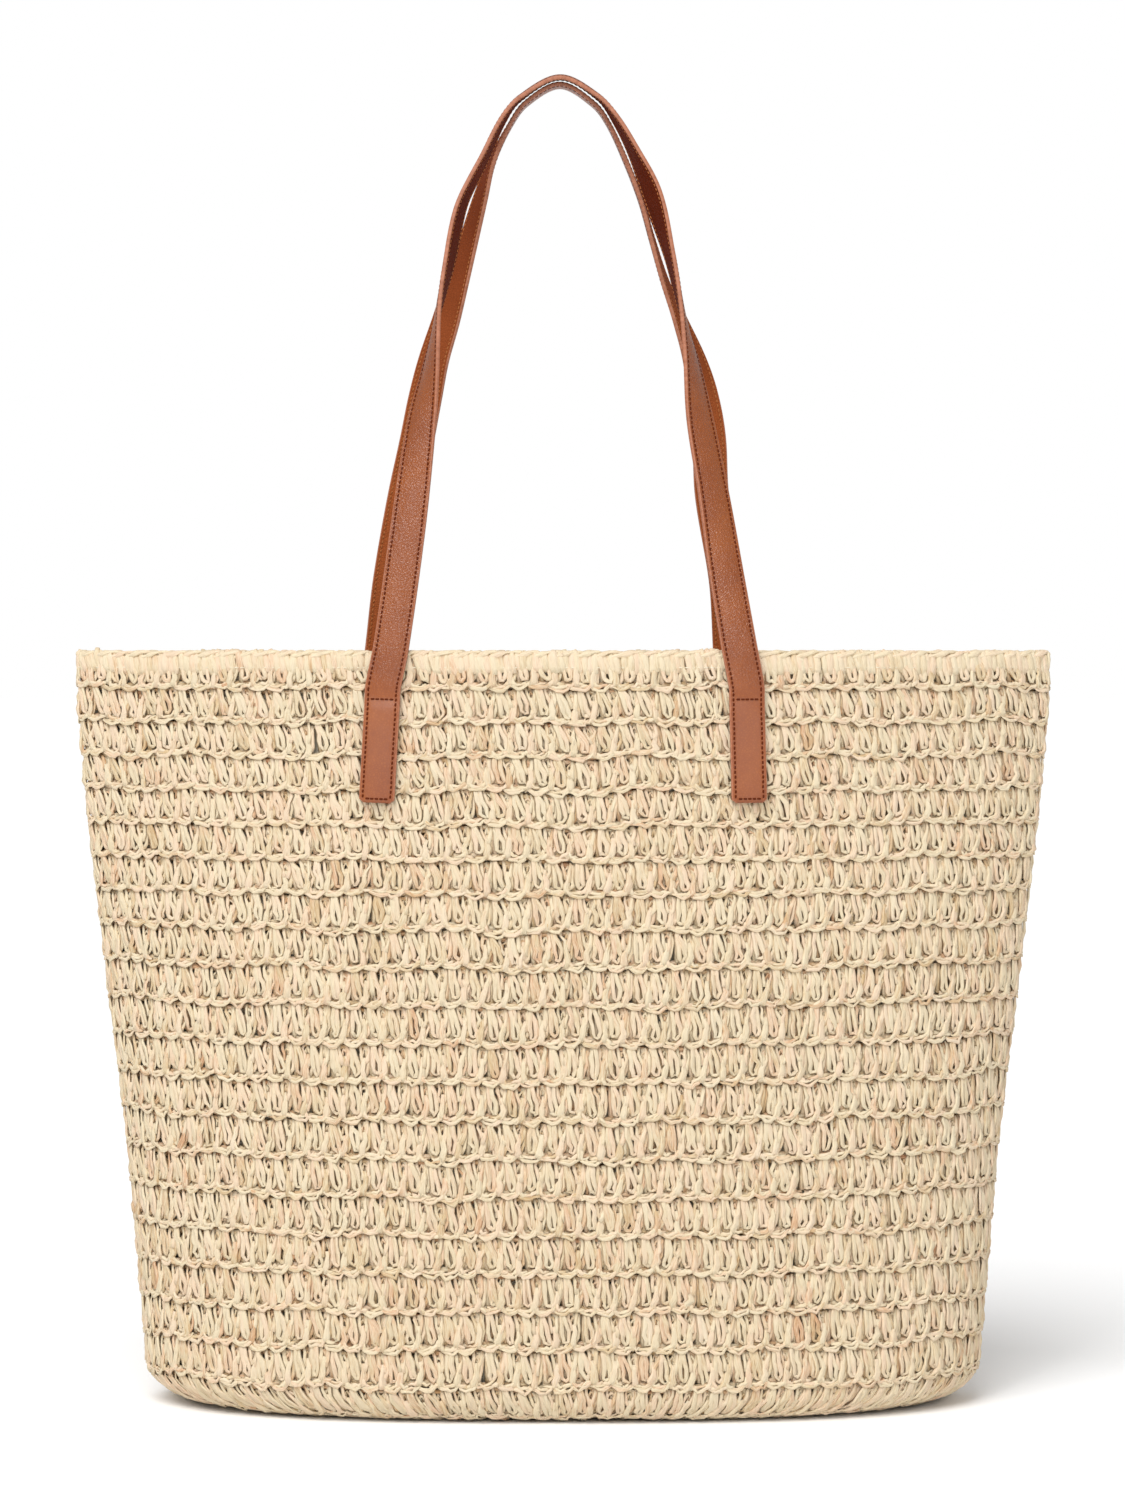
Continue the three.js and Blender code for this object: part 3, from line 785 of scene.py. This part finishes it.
BACK_ROUTE = (
    (-95.5, 0, 0.8, 98), (-95.3, 0, 6, 98), (-92.7, 0, 29, 97), (-88.8, 5.5, 60, 91),
    (-81.3, 12, 101, 88), (-74.5, 19, 131, 85), (-70.4, 23, 151, 78), (-65.7, 27, 171, 62),
    (-59.3, 31, 191, 53), (-53.6, 35, 210.5, 43), (-47.5, 39, 231, 32), (-41.8, 43, 251, 24),
    (-36, 46.5, 269, 12), (-27.2, 50, 287, 5), (-18.8, 52.2, 298, 3), (-1.5, 54, 307, 2.5),
    (15.2, 52.2, 298, 3), (23.2, 50, 288, 4), (32.2, 46.5, 269, 5), (39.6, 43, 250, 5),
    (45.2, 39, 231, 7), (51.4, 35, 211, 12), (59.4, 31, 191, 24), (66.8, 27, 171, 42),
    (71.5, 23, 151, 68), (74.5, 19, 131, 86), (76.3, 12, 103, 89), (83.6, 5.5, 60, 91),
    (85.7, 0, 29, 97), (86.2, 0, 6, 98), (86.2, 0, 0.8, 98),
)
# Each handle's side, its route, and how far across its tabs end.
HANDLES = {
    "front_handle": (-1, FRONT_ROUTE, -90.2, 90.2),
    "back_handle": (1, BACK_ROUTE, -97, 86.8),
}
# Between which heights above the stitch line painted shade darkens each handle's underside.
UNDERSIDE_PAINTED_SHADE = {"front_handle": (60.0, 190.0), "back_handle": (100.0, 300.0)}
TAB_NODES = ("left_tab_face", "left_tab_backing", "right_tab_face", "right_tab_backing")
STRAP_DEPTH = 58.4  # of the strap's middle at the stitch line; the hinge lies just outside it


class Strap:
    """A handle's strap, from the foot of one tab to the foot of the other."""

    def __init__(self, surface, side, route, left_end, right_end):
        left = self.tab_rows(surface, side, left_end, route[0][0])
        right = self.tab_rows(surface, side, right_end, route[-1][0])
        rows = np.vstack([left, route, right[::-1]])
        gaps = np.linalg.norm(np.diff(rows[:, :3], axis=0), axis=1)
        knots = np.r_[0, np.cumsum(gaps)]
        self.side = side
        self.length = knots[-1]
        self.run = np.linspace(0, self.length, round(self.length / STRAP_STEP))
        across, lean, rise, turn = hermite(rows, knots, self.run).T
        self.points = np.stack([across, side * (STRAP_DEPTH - lean), HINGE_Z + rise], axis=1)
        along = unit(np.gradient(self.points, axis=0))
        front = np.array((0, -1, 0))
        level = unit(front - along * (along @ front)[:, None])
        turn = np.radians(turn)[:, None]
        self.near = level * np.cos(turn) + np.cross(along, level) * np.sin(turn)
        self.face = np.cross(self.near, along) * -side
        self.rise = rise

    @staticmethod
    def tab_rows(surface, side, end, top):
        heights = np.linspace(TAB_END, HINGE_Z - 4, 8)
        rows = []
        for z in heights:
            x = end + (top - end) * (z - TAB_END) / (HINGE_Z - TAB_END)
            share = surface.share_at(x, z, side)
            point, normal = surface.place(share, z, TAB_STANDOFF + STRAP_HALF_THICK)
            azimuth = math.degrees(math.atan2(abs(normal[0]), abs(normal[1])))
            rows.append((x, STRAP_DEPTH - abs(point[1]), z - HINGE_Z, 90 + side * azimuth))
        return np.array(rows)

    def at(self, run, across, height):
        """Points on the strap: along it, towards its near edge, and out of its face."""
        def along(values):
            return np.stack([np.interp(run, self.run, values[:, k]) for k in range(3)], axis=-1)
        return (along(self.points) + along(self.near) * np.asarray(across)[..., None]
                + along(self.face) * np.asarray(height)[..., None])

    def crown(self, run):
        """How far the padded middle stands above the edges."""
        rise = np.interp(run, self.run, self.rise)
        return CROWN_TAB + CROWN_STRAP * smooth_step(0, CROWN_RISE, rise)


# Halves of the strap's section, across and up, from the edge inwards: one for the finished
# side and one for the back. The crown's height is added inside the stitch line.
FACE_SECTION = (
    (8.75, 0.45), (8.6, 0.82), (8.2, 1.02), (7.6, 1.05), (7.2, 1.0), (6.85, 0.92),
    (6.5, 1.0), (5.9, 1.05), (4.2, 1.05), (2.0, 1.05),
)
BACK_SECTION = (
    (8.75, -0.45), (8.6, -0.82), (8.2, -1.0), (7.3, -0.98), (6.85, -0.82), (6.4, -0.98), (3.2, -1.0),
)


def strap_section():
    """Points around the strap's section, and which are on the face (0), edge (1) or back (2)."""
    face = list(FACE_SECTION)
    back = list(BACK_SECTION)
    points = face + [(0, 1.05)] + [(-x, y) for x, y in face[::-1]]
    points += [(-x, y) for x, y in back] + [(0, -1.0)] + back[::-1]
    middle = [(np.add(a, b) / 2) for a, b in zip(points, points[1:] + points[:1])]
    kinds = [1 if abs(x) > 8.3 else (0 if y > 0 else 2) for x, y in middle]
    return np.array(points), np.array(kinds)


def make_strap(name, strap, materials):
    section, kinds = strap_section()
    steps, sides = len(strap.run), len(section)
    from_end = np.minimum(strap.run, strap.length - strap.run)
    rounded = TAB_CORNER ** 2 - (TAB_CORNER - from_end).clip(0) ** 2
    cut = TAB_CORNER - np.sqrt(np.maximum(rounded, 0))
    across = section[None, :, 0] * (1 - cut / STRAP_HALF)[:, None]
    inside = (1 - (section[:, 0] / CROWN_HALF) ** 2).clip(0) * (section[:, 1] > 0)
    height = section[None, :, 1] + strap.crown(strap.run)[:, None] * inside[None, :]
    run = np.broadcast_to(strap.run[:, None], across.shape)
    points = strap.at(run, across, height)
    index = np.arange(steps * sides).reshape(steps, sides)
    walls = tube_walls(index)
    if strap.side > 0:
        walls = walls[:, ::-1]
    caps = [index[0][::-1], index[-1]] if strap.side < 0 else [index[0], index[-1][::-1]]
    faces = np.concatenate([walls.ravel(), *caps])
    sizes = np.r_[np.full(len(walls), 4), sides, sides]
    piece = make_object(name, points.reshape(-1, 3), faces, materials, sizes)
    kinds = np.r_[np.tile(kinds, steps - 1), 1, 1].astype(np.int32)
    piece.data.polygons.foreach_set("material_index", kinds)
    lie = np.stack([run, across, np.zeros_like(run)], axis=-1)
    add_attribute(piece, "lie", lie.reshape(-1, 3))
    add_attribute(piece, "rise", np.repeat(strap.rise, sides))
    return piece


THREAD = ((1.0, 0.0), (0.5, 0.55), (-0.5, 0.55), (-1.0, 0.0), (0.0, -0.6))


def stitch_line(strands, strap, runs, acrosses, level):
    """Thread along a line of the strap, one short tube a stitch, on the face or the back."""
    path = np.stack([runs, acrosses], axis=1)
    gaps = np.linalg.norm(np.diff(path, axis=0), axis=1)
    walked = np.r_[0, np.cumsum(gaps)]
    count = max(1, round(walked[-1] / STITCH_PITCH))
    starts = (np.arange(count) + 0.5) / count * walked[-1]
    offsets = np.array((-0.31, -0.2, 0.2, 0.31)) * STITCH_PITCH
    lift = np.array((-0.3, 0.08, 0.08, -0.3))
    at = starts[:, None] + offsets[None, :]
    run = np.interp(at, walked, runs)
    across = np.interp(at, walked, acrosses) + RNG.normal(0, STITCH_WOBBLE * 0.4, (count, 1))
    slant = np.array((-1, -0.5, 0.5, 1)) * STITCH_WOBBLE
    height = level + np.sign(level) * lift[None, :]
    centres = strap.at(run, across + slant[None, :], np.broadcast_to(height, run.shape))
    normals = np.sign(level) * (strap.at(run, across, np.ones_like(run))
                                - strap.at(run, across, np.zeros_like(run)))
    tone = np.full(count, 0.0 if level > 0 else 0.8)
    strands.add(centres, normals, np.full(run.shape, 0.95), THREAD, tone,
                RNG.uniform(0, 1000, count))


def make_strap_stitches(name, strap, thread):
    strands = Strands()
    edge = STRAP_HALF - STITCH_INSET
    ends = np.array((STITCH_INSET, strap.length - STITCH_INSET))
    half = len(strap.run) // 2
    hinge = np.interp(0, strap.rise[:half], strap.run[:half])
    far_hinge = np.interp(0, strap.rise[:half:-1], strap.run[:half:-1])
    for level in (0.97, -0.88):
        for x in (-edge, edge):
            stitch_line(strands, strap, ends, np.array((x, x)), level)
        for run in (ends[0], hinge, far_hinge, ends[1]):
            stitch_line(strands, strap, np.array((run, run)), np.array((-edge + 1.2, edge - 1.2)),
                        level + (0.2 if level > 0 else -0.1))
    return strands.make(name, [thread])


def make_handles(surface, thread):
    face, edge = leather_face(), leather_edge()
    for name, (side, route, left_end, right_end) in HANDLES.items():
        strap = Strap(surface, side, route, left_end, right_end)
        back = leather_back(f"{name}_underside", UNDERSIDE_PAINTED_SHADE[name])
        piece = make_strap(f"{name}_strap", strap, [face, edge, back])
        stitches = make_strap_stitches(f"{name}_stitches", strap, thread)
        for each in (piece, stitches):
            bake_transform(each)
        tabs = [f"{name.split('_')[0]}_{node}" for node in TAB_NODES]
        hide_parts(f"{name}_face", f"{name}_backing", *tabs)


# ---------- linings, pocket, patches and snap ----------

class Folds:
    """Slow shallow waves of slack cloth, as distances in from its wall."""

    def __init__(self, depth):
        self.depth = depth
        self.waves = RNG.uniform((3, 0.006, 0), (17, 0.03, 2 * math.pi), (7, 3))
        self.waves[:, 0] = np.round(self.waves[:, 0])
        self.waves[:, 1] *= RNG.choice((-1, 1), 7)

    def at(self, s, q):
        total = sum(np.sin(2 * math.pi * turns * s + rise * q + phase)
                    for turns, rise, phase in self.waves)
        return self.depth * (0.5 + 0.5 * np.tanh(total / 2))


def solid_grid(name, outer, inner, closed, materials):
    """A sheet between two grids of points; closed when its columns join up around the bag."""
    rows, columns = outer.shape[:2]
    index = np.arange(rows * columns * 2).reshape(2, rows, columns)
    if closed:
        index = np.concatenate([index, index[:, :, :1]], axis=2)
    front, back = index
    faces = [np.stack([front[:-1, :-1], front[1:, :-1], front[1:, 1:], front[:-1, 1:]], -1),
             np.stack([back[:-1, :-1], back[:-1, 1:], back[1:, 1:], back[1:, :-1]], -1)]
    for row, turn in ((0, 1), (-1, -1)):
        rim = np.stack([front[row, :-1], front[row, 1:], back[row, 1:], back[row, :-1]], -1)
        faces.append(rim[:, ::turn])
    if not closed:
        for column, turn in ((0, -1), (-1, 1)):
            rim = np.stack([front[:-1, column], front[1:, column],
                            back[1:, column], back[:-1, column]], -1)
            faces.append(rim[:, ::turn])
    faces = np.concatenate([each.reshape(-1, 4) for each in faces])
    points = np.concatenate([outer.reshape(-1, 3), inner.reshape(-1, 3)])
    return make_object(name, points, faces, materials)


def ring_cloth(name, surface, top, bottom, inset, folds, material):
    """A ring of cloth inside the wall, slack only below the hem that holds it."""
    rows = np.linspace(top, bottom, max(3, round((top - bottom) / CLOTH_STEP)))
    s, q = np.meshgrid(np.arange(CLOTH_COLUMNS) / CLOTH_COLUMNS, rows)
    slack = folds.at(s, q) * smooth_step(0, SLACK_RISE, SLACK_TOP - q)
    outer, _ = surface.place(s, q, -inset - slack)
    inner, _ = surface.place(s, q, -inset - CLOTH * 0.75 - slack)
    piece = solid_grid(name, outer, inner, True, [material])
    add_lie(piece, s * surface.girth(200), q)
    return piece


def base_cloth(name, surface, top, inset, material):
    """The bottom lining: rings that close on the middle line of the base."""
    rows = np.linspace(top, GRID_END, 20)
    s, q = np.meshgrid(np.arange(CLOTH_COLUMNS) / CLOTH_COLUMNS - 0.5, rows)
    grids = [surface.place(s, q, np.full(q.shape, -d))[0] for d in (inset, inset + CLOTH * 0.75)]
    for grid in grids:
        grid[-1, :, 1] = 0
    piece = solid_grid(name, grids[0], grids[1], True, [material])
    add_lie(piece, grids[0][..., 0], grids[0][..., 1])
    return piece


def wall_grid(surface, side, across, heights, inset, gape=0):
    """Points inside the wall at distances across and heights, drawn away from it by gape."""
    x, z = np.meshgrid(across, heights)
    grid = np.zeros((*x.shape, 3))
    for r, height in enumerate(heights):
        share = np.array([surface.share_at(each, height, side) for each in across])
        grid[r], _ = surface.place(share, np.full(len(across), height), -inset)
    grid[..., 1] -= side * gape
    return grid


def make_pocket(surface, cloth, thread):
    across = np.linspace(-POCKET_HALF_WIDTH, POCKET_HALF_WIDTH, 41)
    heights = np.linspace(POCKET_TOP, POCKET_LOW, 31)
    share = across / POCKET_HALF_WIDTH
    rise = (heights - POCKET_LOW) / (POCKET_TOP - POCKET_LOW)
    gape = POCKET_GAPE * np.sin(rise * math.pi / 2)[:, None] * (1 - share ** 4)[None, :]
    inset = LINING_INSET + CLOTH + 0.4
    grids = [wall_grid(surface, 1, across, heights, inset + thick, gape)
             for thick in (0, CLOTH)]
    pocket = solid_grid("slip_pocket_cloth", grids[1], grids[0], False, [cloth])
    x, z = np.meshgrid(across, heights)
    add_lie(pocket, x, z, POCKET_LAYER)
    hem_rows = 4
    thick = [grids[1][:hem_rows] - (0, 0.35, 0), grids[1][:hem_rows] - (0, 0.02, 0)]
    thick[0][:, :, 2] += 0.3
    hem = solid_grid("slip_pocket_hem", thick[0], thick[1], False, [cloth])
    add_lie(hem, x[:hem_rows], z[:hem_rows], POCKET_LAYER)
    strands = Strands()
    seam = grids[1][hem_rows - 2] - (0, 0.4, 0)
    sides = [seam, grids[1][:, 1] - (0, 0.1, 0), grids[1][:, -2] - (0, 0.1, 0)]
    for line in sides:
        sew(strands, line, np.broadcast_to((0.0, -1.0, 0.0), line.shape), 3.0, 0.5)
    stitches = strands.make("slip_pocket_stitches", [thread])
    return pocket, hem, stitches


def sew(strands, line, normals, pitch, width):
    """Machine stitches along a line of points."""
    run = np.r_[0, np.cumsum(np.linalg.norm(np.diff(line, axis=0), axis=1))]
    count = max(1, round(run[-1] / pitch))
    middles = (np.arange(count) + 0.5) * run[-1] / count
    at = middles[:, None] + np.array((-0.36, -0.18, 0.18, 0.36)) * pitch
    lift = np.array((-0.15, 0.1, 0.1, -0.15))
    centres = np.stack([np.interp(at, run, line[:, k]) for k in range(3)], axis=-1)
    outward = np.stack([np.interp(at, run, normals[:, k]) for k in range(3)], axis=-1)
    centres = centres + outward * lift[None, :, None]
    strands.add(centres, outward, np.full(at.shape, width), THREAD, np.ones(count),
                RNG.uniform(0, 1000, count))


def make_patch(surface, name, side, x, felt):
    across = np.linspace(x - PATCH_HALF_WIDTH, x + PATCH_HALF_WIDTH, 14)
    heights = np.linspace(HINGE_Z + PATCH_MARGIN, TAB_END - PATCH_MARGIN, 24)
    grids = [wall_grid(surface, side, across, heights, inset) for inset in PATCH_INSETS]
    patch = solid_grid(name, grids[0], grids[1], False, [felt])
    add_lie(patch, *np.meshgrid(across, heights))
    return patch


WASHER = ((7, -0.3), (7, 0.3), (6.8, 0.4), (2, 0.4), (2, -0.4), (6.8, -0.4))
# The snap's turned parts: side of the bag, distance in from the crest of the ridges, look, and
# the radius and depth into the bag of each point around a closed section.
SNAP_PARTS = (
    ("snap_socket_casing", -1, 8.1, "brass", (
        (9, 0.2), (9, 2.5), (8.85, 2.85), (8.5, 3), (4.1, 3), (3.7, 2.85), (3.6, 2.4),
        (8.3, 2.3), (8.3, 0.1))),
    ("snap_socket_magnet", -1, 8.1, "magnet", (
        (8, 0.3), (8, 1.9), (7.8, 2.1), (4.1, 2.1), (3.9, 1.9), (3.9, 0.3))),
    ("snap_socket_washer", -1, 4.9, "brass", WASHER),
    ("snap_stud_plate", 1, 8.1, "brass", (
        (9, 0.1), (9, 0.9), (8.7, 1.15), (8.3, 1.2), (3.6, 1.2), (3.2, 1.6), (3.2, 2.9),
        (2.9, 3.2), (0.02, 3.2), (0.02, 0))),
    ("snap_stud_washer", 1, 4.9, "brass", WASHER),
)
SNAP_SIDES = 64
SNAP_Z = 355


def make_turned(surface, name, side, inset, section, material):
    share = 0.0 if side < 0 else 0.5
    place, normal = surface.place(np.array(share), np.array(float(SNAP_Z)), np.array(-inset))
    level = np.array((1.0, 0, 0))
    up = np.cross(normal, level)
    angle = np.arange(SNAP_SIDES) / SNAP_SIDES * 2 * math.pi
    circle = np.cos(angle)[:, None] * level + np.sin(angle)[:, None] * up
    rings = np.array([place + radius * circle - depth * normal for radius, depth in section])
    index = np.arange(len(rings) * SNAP_SIDES).reshape(-1, SNAP_SIDES)
    turned, after = np.roll(index, -1, 1), np.roll(index, -1, 0)
    faces = np.stack([index, after, np.roll(after, -1, 1), turned], axis=-1).reshape(-1, 4)
    piece = make_object(name, rings.reshape(-1, 3), faces, [material])
    add_attribute(piece, "lie", rings.reshape(-1, 3) - place)
    return piece


def make_inside(surface, looks):
    folds = Folds(1.2)
    pieces = {}
    wall = ring_cloth("lining_wall_cloth", surface, LINING_TOP, 8, LINING_INSET + 0.3, folds,
                      looks["cloth"])
    pieces["lining_wall"] = wall
    base = base_cloth("lining_base_cloth", surface, 7.5, LINING_INSET + 0.3, looks["cloth"])
    pieces["lining_base"] = base
    hem = ring_cloth("lining_hem_band", surface, LINING_TOP - 0.5, HEM_LOW, HEM_INSET + 0.1,
                     Folds(0.0), looks["band"])
    pieces["lining_hem"] = hem
    strands = Strands()
    s = np.arange(721) / 720
    for q in (LINING_TOP - 3, HEM_LOW + 2.5):
        line, normals = surface.place(s, np.full(721, float(q)), -HEM_INSET - CLOTH - 0.1)
        sew(strands, line, -normals, 3.2, 0.5)
    pieces["hem_stitches"] = strands.make("hem_stitches", [looks["thread_pale"]])
    pocket, pocket_hem, pocket_stitches = make_pocket(surface, looks["cloth"], looks["thread_pale"])
    pieces["slip_pocket"] = pocket
    for piece in (pocket_hem, pocket_stitches):
        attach(piece, "bag")
    for handle, (side, route, left_end, right_end) in HANDLES.items():
        which = handle.split("_")[0]
        for hand, top, end in (("left", route[0][0], left_end), ("right", route[-1][0], right_end)):
            node = f"{which}_{hand}_patch"
            patch = make_patch(surface, f"{node}_felt", side, (top + end) / 2, looks["felt"])
            pieces[node] = patch
    for node, side, inset, look, section in SNAP_PARTS:
        pieces[node] = make_turned(surface, f"{node}_metal", side, inset, section, looks[look])
    for node, piece in pieces.items():
        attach(piece, "bag")
        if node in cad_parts:
            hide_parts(node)


def cloth_material(name, base, dark, thread_mm):
    n = Nodes(name)
    lie = n.attribute("lie")
    across, down = (
        n.add("ShaderNodeTexWave", {"Vector": lie, "Scale": 0.32 / thread_mm},
              wave_type="BANDS", bands_direction=direction).outputs["Fac"]
        for direction in "XY")
    weave = n.math("MULTIPLY", across, down)
    slub = n.noise(lie, 0.09, 3.0, 0.6)
    shade = n.math("MULTIPLY_ADD", weave, 0.35, n.math("MULTIPLY", slub, 0.6))
    colour = n.ramp(shade, (0.15, dark), (0.7, base))
    return n.set(Base_Color=colour, Roughness=0.85, Sheen_Weight=0.15,
                 Normal=n.bump(weave, 0.4, 0.0002))


def metal_material(name, colour, worn, roughness):
    n = Nodes(name)
    lie = n.attribute("lie")
    scratch = n.noise(lie, 0.8, 5.0, 0.7)
    shade = n.ramp(scratch, (0.3, worn), (0.65, colour))
    return n.set(Base_Color=shade, Metallic=1.0, Roughness=roughness,
                 Normal=n.bump(scratch, 0.12, 0.0001))


def inside_looks():
    pale = Nodes("thread_pale")
    fibre = pale.attribute("fibre")
    twist = pale.noise(fibre, 1.5, 2.0, 0.5)
    thread = pale.set(
        Base_Color=pale.ramp(twist, (0.3, (214, 200, 172)), (0.7, (236, 226, 204))),
        Roughness=0.6)
    return {
        "cloth": cloth_material("lining_cloth", (238, 230, 212), (220, 208, 184), 0.8),
        "band": cloth_material("hem_band", (232, 222, 200), (212, 198, 172), 1.2),
        "felt": cloth_material("patch_felt", (226, 220, 205), (206, 198, 180), 0.6),
        "thread_pale": thread,
        "brass": metal_material("snap_brass", (196, 158, 98), (150, 116, 70), 0.3),
        "magnet": metal_material("snap_magnet", (96, 97, 100), (70, 71, 74), 0.45),
    }


# ---------- light, floor and camera ----------

EYE_HEIGHT = HEIGHT
EYE_DISTANCE = 1950
EYE_ACROSS = -0.25
VIEW_HEIGHT = 750  # of the plane through the bag's middle
VIEW_MIDDLE = 324
SURROUND_LIT = 0.5  # how strongly the white surround lights the scene
SURROUND_SEEN = 1.0  # and how bright it looks to the camera
KEY_STRENGTH = 2.1
KEY_SPREAD = 38  # degrees; wide, for soft shadows
SHEEN_ACROSS = (-0.79, 0.86)  # in metres
SHEEN_POWER = 6.5


def make_camera():
    data = bpy.data.cameras.new("camera")
    data.sensor_width = 36
    data.lens = 36 * EYE_DISTANCE / VIEW_HEIGHT
    data.shift_y = (VIEW_MIDDLE - EYE_HEIGHT) / VIEW_HEIGHT
    data.clip_end = 30
    camera = put_in_scene("camera", data)
    camera.location = (EYE_ACROSS * MM, -EYE_DISTANCE * MM, EYE_HEIGHT * MM)
    camera.rotation_euler = (math.pi / 2, 0, 0)
    bpy.context.scene.camera = camera


def area_light(name, place, target, size, power):
    data = bpy.data.lights.new(name, "AREA")
    data.shape = "DISK"
    data.size = size
    data.energy = power
    light = put_in_scene(name, data)
    light.location = place
    aim = np.subtract(target, place)
    yaw = math.atan2(aim[1], aim[0])
    pitch = math.atan2(math.hypot(aim[0], aim[1]), -aim[2])
    light.rotation_euler = (pitch, 0, yaw - math.pi / 2)


def make_floor():
    bpy.ops.mesh.primitive_plane_add(size=300, location=(0, 0, 0))
    floor = bpy.context.object
    floor.name = "floor"
    n = Nodes("pale_floor")
    floor.data.materials.append(n.set(Base_Color=(1.0, 1.0, 1.0, 1.0), Roughness=0.9,
                                      Specular_IOR_Level=0.0))


def make_studio():
    """A white surround that lights less than it shows, a soft key and two lamps for sheen."""
    world = bpy.data.worlds.new("studio")
    world.use_nodes = True
    tree = world.node_tree
    background = tree.nodes["Background"]
    seen = tree.nodes.new("ShaderNodeLightPath").outputs["Is Camera Ray"]
    strength = tree.nodes.new("ShaderNodeMapRange")
    strength.inputs["To Min"].default_value = SURROUND_LIT
    strength.inputs["To Max"].default_value = SURROUND_SEEN
    tree.links.new(seen, strength.inputs["Value"])
    tree.links.new(strength.outputs[0], background.inputs["Strength"])
    background.inputs["Color"].default_value = (1, 1, 1, 1)
    bpy.context.scene.world = world
    bpy.context.scene.view_settings.view_transform = "Standard"
    data = bpy.data.lights.new("key", "SUN")
    data.energy = KEY_STRENGTH
    data.angle = math.radians(KEY_SPREAD)
    key = put_in_scene("key", data)
    key.rotation_euler = (math.radians(36), 0, math.radians(-24))
    for x in SHEEN_ACROSS:
        area_light("sheen", (x, -2.1, 1.12), (0, 0, 0.42), 0.4, SHEEN_POWER)


surface = Surface()
make_camera()
straw = straw_material()
courses = make_crochet(surface, straw)
for piece in courses:
    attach(piece, "bag")
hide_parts("crochet_wall")
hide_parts("crochet_base")
looks = inside_looks()
rim, rim_stitches = make_rim(surface, straw, looks["thread_pale"])
for piece in (rim, rim_stitches):
    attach(piece, "bag")
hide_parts("rim_edging")
make_handles(surface, thread_material())
make_inside(surface, looks)
make_floor()
make_studio()
